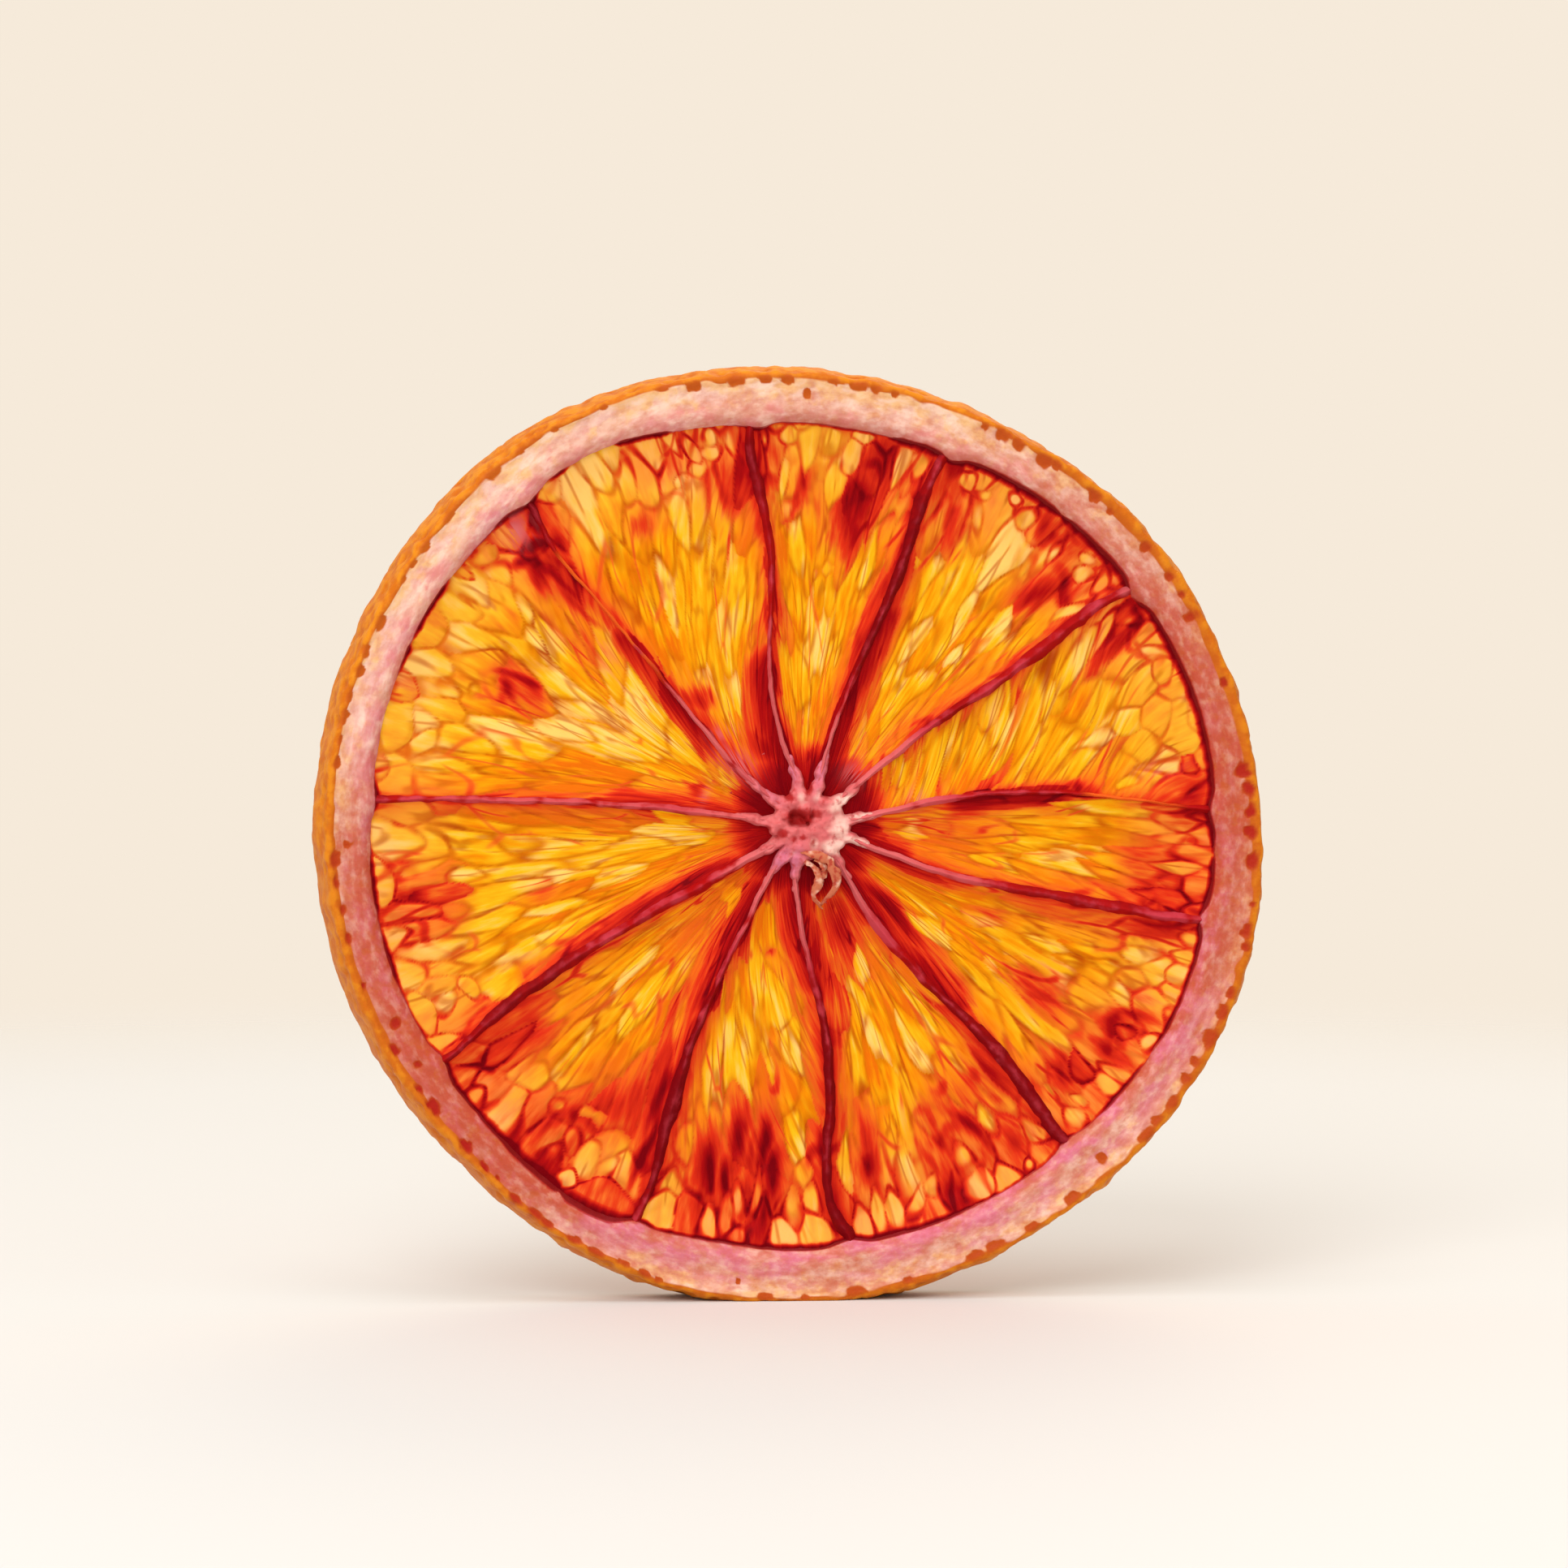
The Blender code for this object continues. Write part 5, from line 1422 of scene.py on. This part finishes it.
def wall_route(wall):
    """A wall's route from the core into the pith: a chain of edges that carries the wall's look."""
    end = pulp_edge(math.radians(WALLS[wall][-1])) + WALL_IN_PITH
    radius = np.linspace(WALL_START, end, WALL_ROUTE_POINTS)
    points = in_frame(radius, wall_angle(wall, radius), np.zeros_like(radius))
    chain = np.arange(len(radius) - 1)
    name = f"wall_{wall + 1:02d}"
    mesh = bpy.data.meshes.new(name)
    mesh.from_pydata(points.tolist(), np.stack([chain, chain + 1], axis=-1).tolist(), [])
    store(mesh, dict(zip(("swell", "pink", "dark"), wall_look(wall, radius))))
    return linked(name, mesh)


def wall_sweep_tree(material):
    """Sweeps an upright fin along a wall's route: a sharp uneven crest, a thick body and a splayed foot."""
    tree, chain, wall_width, half_height, wobble, step = geometry_tree(
        "Wall sweep", "Wall Width", "Half Height", "Wobble", "Step")
    here = add_node(tree, "GeometryNodeInputPosition").outputs[0]
    x, y, z = (Value(part) for part in add_node(tree, "ShaderNodeSeparateXYZ", {"Vector": here}).outputs)
    swell = named_value(tree, "swell")
    curve = add_node(tree, "GeometryNodeMeshToCurve", {"Mesh": chain}).outputs[0]
    inputs = {"Curve": curve, "Length": step}
    route = add_node(tree, "GeometryNodeResampleCurve", inputs, mode="LENGTH").outputs[0]
    inputs = {"Curve": route, "Normal": (0, 1, 0)}
    upright = add_node(tree, "GeometryNodeSetCurveNormal", inputs, mode="FREE").outputs[0]
    inputs = {"Resolution": WALL_SIDES, "Radius": 1.0}
    ring = add_node(tree, "GeometryNodeCurvePrimitiveCircle", inputs).outputs[0]
    sharp = combined("POWER", combined("ABSOLUTE", y), WALL_SHARPNESS) * combined("SIGN", y)
    corner = add_node(tree, "ShaderNodeCombineXYZ", {"X": x * half_height, "Y": sharp * (wall_width * 0.5)})
    section = moved(tree, ring, Position=corner.outputs[0])
    inputs = {"Curve": upright, "Profile Curve": section, "Scale": swell, "Fill Caps": True}
    swept = add_node(tree, "GeometryNodeCurveToMesh", inputs).outputs[0]
    level = y / swell
    crested = stored(tree, swept, "crest", combined("ABSOLUTE", level) / half_height)
    place = add_node(tree, "ShaderNodeCombineXYZ", {"X": x, "Y": level, "Z": z})
    levelled = moved(tree, crested, Position=place.outputs[0])
    noise = add_node(tree, "ShaderNodeTexNoise", {"Vector": here, "Scale": 1 / (2.2 * MM), "Detail": 3.0})
    offset = vector_math(tree, "SUBTRACT", {0: noise.outputs["Color"], 1: (0.5, 0.5, 0.5)})
    offset = vector_math(tree, "SCALE", {0: offset, "Scale": wobble * 3.0})
    return close_tree(tree, moved(tree, levelled, Offset=offset), material)


class SLICE_OT_walls(bpy.types.Operator):
    """Builds the dried walls between the segments"""

    bl_idname = "dried_slice.walls"
    bl_label = "Walls"

    def execute(self, context):
        sizes, colours = context.scene.slice_sizes, context.scene.slice_colours
        tree = wall_sweep_tree(wall_material(colours))
        for wall in range(len(WALLS)):
            piece = wall_route(wall)
            run_tree(piece, tree, {
                "Wall Width": sizes.wall_width,
                "Half Height": WALL_HALF_HEIGHT,
                "Wobble": sizes.wall_wobble,
                "Step": WALL_STEP,
            })
            finish_piece(piece)
        return {"FINISHED"}


# ---------------------------------------------------------------- core


def core_material(colours):
    """Pink fibres with pale, lilac, deep red and hollow places."""
    material, tree, shader = new_material("core_fibre")
    pale, lilac, deep, hollow = read(tree, "pale", "lilac", "deep", "hollow")
    noise, patch = object_noise(tree, 0.45 * MM, 4), object_noise(tree, 1.1 * MM, 2)
    colour = layered(
        tree,
        mixed(tree, ramp(pale + swing(patch, 1.0), 0.05, 0.80), colours.fibre, colours.pale_fibre),
        (lilac, colours.pith_lilac),
        (ramp(noise, 0.48, 0.80), mixed(tree, 0.6, colours.fibre, colours.crimson)),
        (ramp(deep + swing(noise, 0.8), 0.10, 0.65) * 0.85, colours.crimson),
        (hollow * 0.85, colours.crimson),
    )
    lay_skin(shader, colour, 0.6, 0.15, 0.25, (0.6, 0.2, 0.18), noise, 0.10 * MM, 0.9)
    return material


def core_grid():
    """The core's rings, out over its front and in over its back: radius, angle and distance from a wall."""
    steps = int(CORE_REACH / CORE_STEP)
    radius = np.concatenate([np.linspace(0.01, 1, steps), np.linspace(1, 0.01, steps)])[:, None] * CORE_REACH
    place = np.linspace(0, 1, CORE_TURN_STEPS // len(WALLS), endpoint=False)[None, :]
    place = place - 0.12 * np.sin(TAU * place)
    angles, asides = [], []
    for first in range(len(WALLS)):
        start, span = segment_span(first, radius)
        angles.append(start + span * place)
        asides.append(np.minimum(place, 1 - place) * span * radius)
    return radius, np.concatenate(angles, axis=1), np.concatenate(asides, axis=1)


class SLICE_OT_core(bpy.types.Operator):
    """Builds the fibrous core, drawn out into an arm along each wall, with a torn pit"""

    bl_idname = "dried_slice.core"
    bl_label = "Core"

    def execute(self, context):
        radius, angle, aside = core_grid()
        side = np.repeat([-1.0, 1.0], len(radius) // 2)[:, None]
        x, z = flat_place(radius, angle)
        lumps = grain(21, x / (0.5 * MM) + 32, z / (0.5 * MM) + 32)
        fibres = grain(22, x / (0.28 * MM) + 32, z / (0.28 * MM) + 32)
        distances, widths = MM * np.array(ARM_WIDTHS).T
        arm = np.interp(radius, distances, widths) * (1 + 0.35 * lumps)
        beyond = np.minimum(aside - arm, radius - lobed(CORE_BODY, CORE_LOBES, angle) * (1 + 0.08 * lumps))
        fall = smoothstep(-0.10 * MM, 0.38 * MM, beyond)
        arm_half = WALL_HALF_HEIGHT - ARM_BELOW_WALL
        top = CORE_HALF + (arm_half - CORE_HALF) * smoothstep(1.6 * MM, 3.4 * MM, radius)
        top = top - ARM_DROP * smoothstep(3.4 * MM, 5.4 * MM, radius)
        from_pit = np.hypot(x - CORE_PIT[0], 1.7 * (z - CORE_PIT[1]))
        pit = 1 - smoothstep(0.10 * MM, 1.20 * MM, from_pit + 0.10 * MM * lumps + 0.20 * MM * fibres)
        inside = 1 - smoothstep(CORE_REACH - 0.6 * MM, CORE_REACH, radius)
        y = top * (1 - fall) + CORE_FLOOR * fall
        y = y + inside * (1 - fall) * MM * (0.22 * lumps + 0.09 * fibres) - CORE_PIT_DEPTH * pit
        values = {
            "hollow": np.maximum(pit, 0.75 * fall),
            "pale": blots(CORE_PATCHES, x, z),
            "lilac": blots(CORE_LILACS, x, z),
            "deep": blots(CORE_DARKS, x, z),
        }
        points, faces = in_frame(radius, angle, side * y), slab_faces(*angle.shape)
        piece = mesh_piece("core", points, faces, values, core_material(context.scene.slice_colours))
        finish_piece(piece)
        return {"FINISHED"}


def curl_material(colours):
    material, tree, shader = new_material("dry_curl")
    noise, patch = object_noise(tree, 0.35 * MM, 3), object_noise(tree, 0.8 * MM, 2)
    colour = mixed(tree, ramp(patch, 0.50, 0.66) * 0.8, colours.curl, colours.pith)
    colour = mixed(tree, ramp(1 - noise, 0.50, 0.66) * 0.7, colour, colours.crimson)
    lay_skin(shader, colour, 0.65, 0.2, 0.2, (0.4, 0.2, 0.1), noise, 0.08 * MM, 0.9)
    return material


def unit(vectors):
    return vectors / np.linalg.norm(vectors, axis=1, keepdims=True)


def strip_points(strand, width, seed):
    """Rings of points round a thin ragged strip that follows a strand and tapers to its ends."""
    path = smooth_path(strand, CURL_STEP)
    along = np.linspace(0, 1, len(path))[:, None]
    forward = unit(np.gradient(path, axis=0))
    across = unit(np.cross(forward, (0.0, 1.0, 0.0)))
    out = np.cross(across, forward)
    lean = 0.9 * grain((seed, 1), along * 4, along * 0)
    across, out = across * np.cos(lean) + out * np.sin(lean), out * np.cos(lean) - across * np.sin(lean)
    turn = np.linspace(0, TAU, CURL_SIDES, endpoint=False)[None, :]
    taper = np.clip(np.sin(np.pi * (0.12 + 0.82 * along)), 0.12, 1)
    half = width / 2 * taper * (1 + 0.50 * grain((seed, 2), along * 14, turn / TAU * 2))
    thin = CURL_THINNESS * half
    return (path[:, None, :] + (half * np.cos(turn))[..., None] * across[:, None, :]
            + (thin * np.sin(turn))[..., None] * out[:, None, :])


class SLICE_OT_curl(bpy.types.Operator):
    """Builds the loose curl of fibre that hangs under the core"""

    bl_idname = "dried_slice.curl"
    bl_label = "Curl"

    def execute(self, context):
        sizes, colours = context.scene.slice_sizes, context.scene.slice_colours
        points, faces = [], []
        for seed, strand in enumerate(CURL_STRANDS):
            places = [(CORE_X + x * MM, -y * MM, CORE_HEIGHT + z * MM) for x, z, y in strand]
            strip = strip_points(places, sizes.curl_width, seed)
            faces.append(slab_faces(*strip.shape[:2]) + sum(len(part) for part in points))
            points.append(strip.reshape(-1, 3))
        points, faces = np.concatenate(points), np.concatenate(faces)
        finish_piece(mesh_piece("core_curl", points, faces, {}, curl_material(colours)))
        return {"FINISHED"}


# ---------------------------------------------------------------- stage


def floor_material(colours, radius):
    """The pale floor, which thins out into the backdrop's light."""
    material, tree, shader = new_material("pale_floor")
    place = add_node(tree, "ShaderNodeTexCoord").outputs["Object"]
    far = Value(vector_math(tree, "LENGTH", {0: place}, "Value"))
    fade = 1 - ramp(far, FLOOR_FADE * radius, radius)
    feed(shader, {"Base Color": colours.floor, "Roughness": 0.7, "Alpha": fade})
    return material


def area_light(name, place, size, power, colour):
    data = bpy.data.lights.new(name, "AREA")
    data.shape = "DISK"
    data.size = size
    data.energy = power
    data.color = colour
    light = linked(name, data)
    light.location = place
    light.rotation_euler = (Vector(LIGHT_TARGET) - Vector(place)).to_track_quat("-Z", "Y").to_euler()


def backdrop(colours):
    """The cream light all round, a little brighter in the camera than on the slice."""
    world = bpy.data.worlds.new("backdrop")
    world.use_nodes = True
    seen = Value(add_node(world.node_tree, "ShaderNodeLightPath").outputs["Is Camera Ray"])
    strength = spread(seen, BACKDROP_LIGHT, BACKDROP_SEEN)
    feed(world.node_tree.nodes["Background"], {"Color": colours.backdrop, "Strength": strength})
    return world


def camera():
    data = bpy.data.cameras.new("camera")
    data.lens = CAMERA_LENS
    data.clip_start, data.clip_end = CLIP_START, CLIP_END
    made = linked("camera", data)
    side = Vector((math.cos(CAMERA_AZIMUTH), math.sin(CAMERA_AZIMUTH), 0))
    back = Vector((math.sin(CAMERA_AZIMUTH), -math.cos(CAMERA_AZIMUTH), 0))
    made.location = CAMERA_SIDE * side + CAMERA_DISTANCE * back + Vector((0, 0, CAMERA_HEIGHT))
    made.rotation_euler = (math.pi / 2 + CAMERA_PITCH, 0, CAMERA_AZIMUTH)
    return made


class SLICE_OT_stage(bpy.types.Operator):
    """Builds the pale floor, the soft lights, the cream backdrop light and the camera"""

    bl_idname = "dried_slice.stage"
    bl_label = "Stage"

    def execute(self, context):
        sizes, colours = context.scene.slice_sizes, context.scene.slice_colours
        bpy.ops.mesh.primitive_circle_add(vertices=FLOOR_SIDES, radius=sizes.floor_radius, fill_type="NGON")
        floor = context.object
        floor.name = "floor"
        floor.data.materials.append(floor_material(colours, sizes.floor_radius))
        for light in LIGHTS:
            area_light(*light)
        context.scene.world = backdrop(colours)
        context.scene.camera = camera()
        context.scene.view_settings.view_transform = "Standard"
        return {"FINISHED"}


# ---------------------------------------------------------------- add-on


class SLICE_PT_panel(bpy.types.Panel):
    bl_label = "Dried Slice"
    bl_idname = "SLICE_PT_panel"
    bl_space_type = "VIEW_3D"
    bl_region_type = "UI"
    bl_category = "Dried Slice"

    def draw(self, context):
        for operator in OPERATORS:
            self.layout.operator(operator.bl_idname)
        for group in (context.scene.slice_sizes, context.scene.slice_colours):
            for name in type(group).__annotations__:
                self.layout.prop(group, name)


OPERATORS = (SLICE_OT_stage, SLICE_OT_rind, SLICE_OT_pulp, SLICE_OT_walls, SLICE_OT_core, SLICE_OT_curl)
CLASSES = (SliceSizes, SliceColours, *OPERATORS, SLICE_PT_panel)


def register():
    for cls in CLASSES:
        bpy.utils.register_class(cls)
    bpy.types.Scene.slice_sizes = bpy.props.PointerProperty(type=SliceSizes)
    bpy.types.Scene.slice_colours = bpy.props.PointerProperty(type=SliceColours)


def unregister():
    del bpy.types.Scene.slice_colours
    del bpy.types.Scene.slice_sizes
    for cls in reversed(CLASSES):
        bpy.utils.unregister_class(cls)


def main():
    register()
    bpy.ops.dried_slice.stage()
    bpy.ops.dried_slice.rind()
    bpy.ops.dried_slice.pulp()
    bpy.ops.dried_slice.walls()
    bpy.ops.dried_slice.core()
    bpy.ops.dried_slice.curl()


if __name__ == "__main__":
    main()
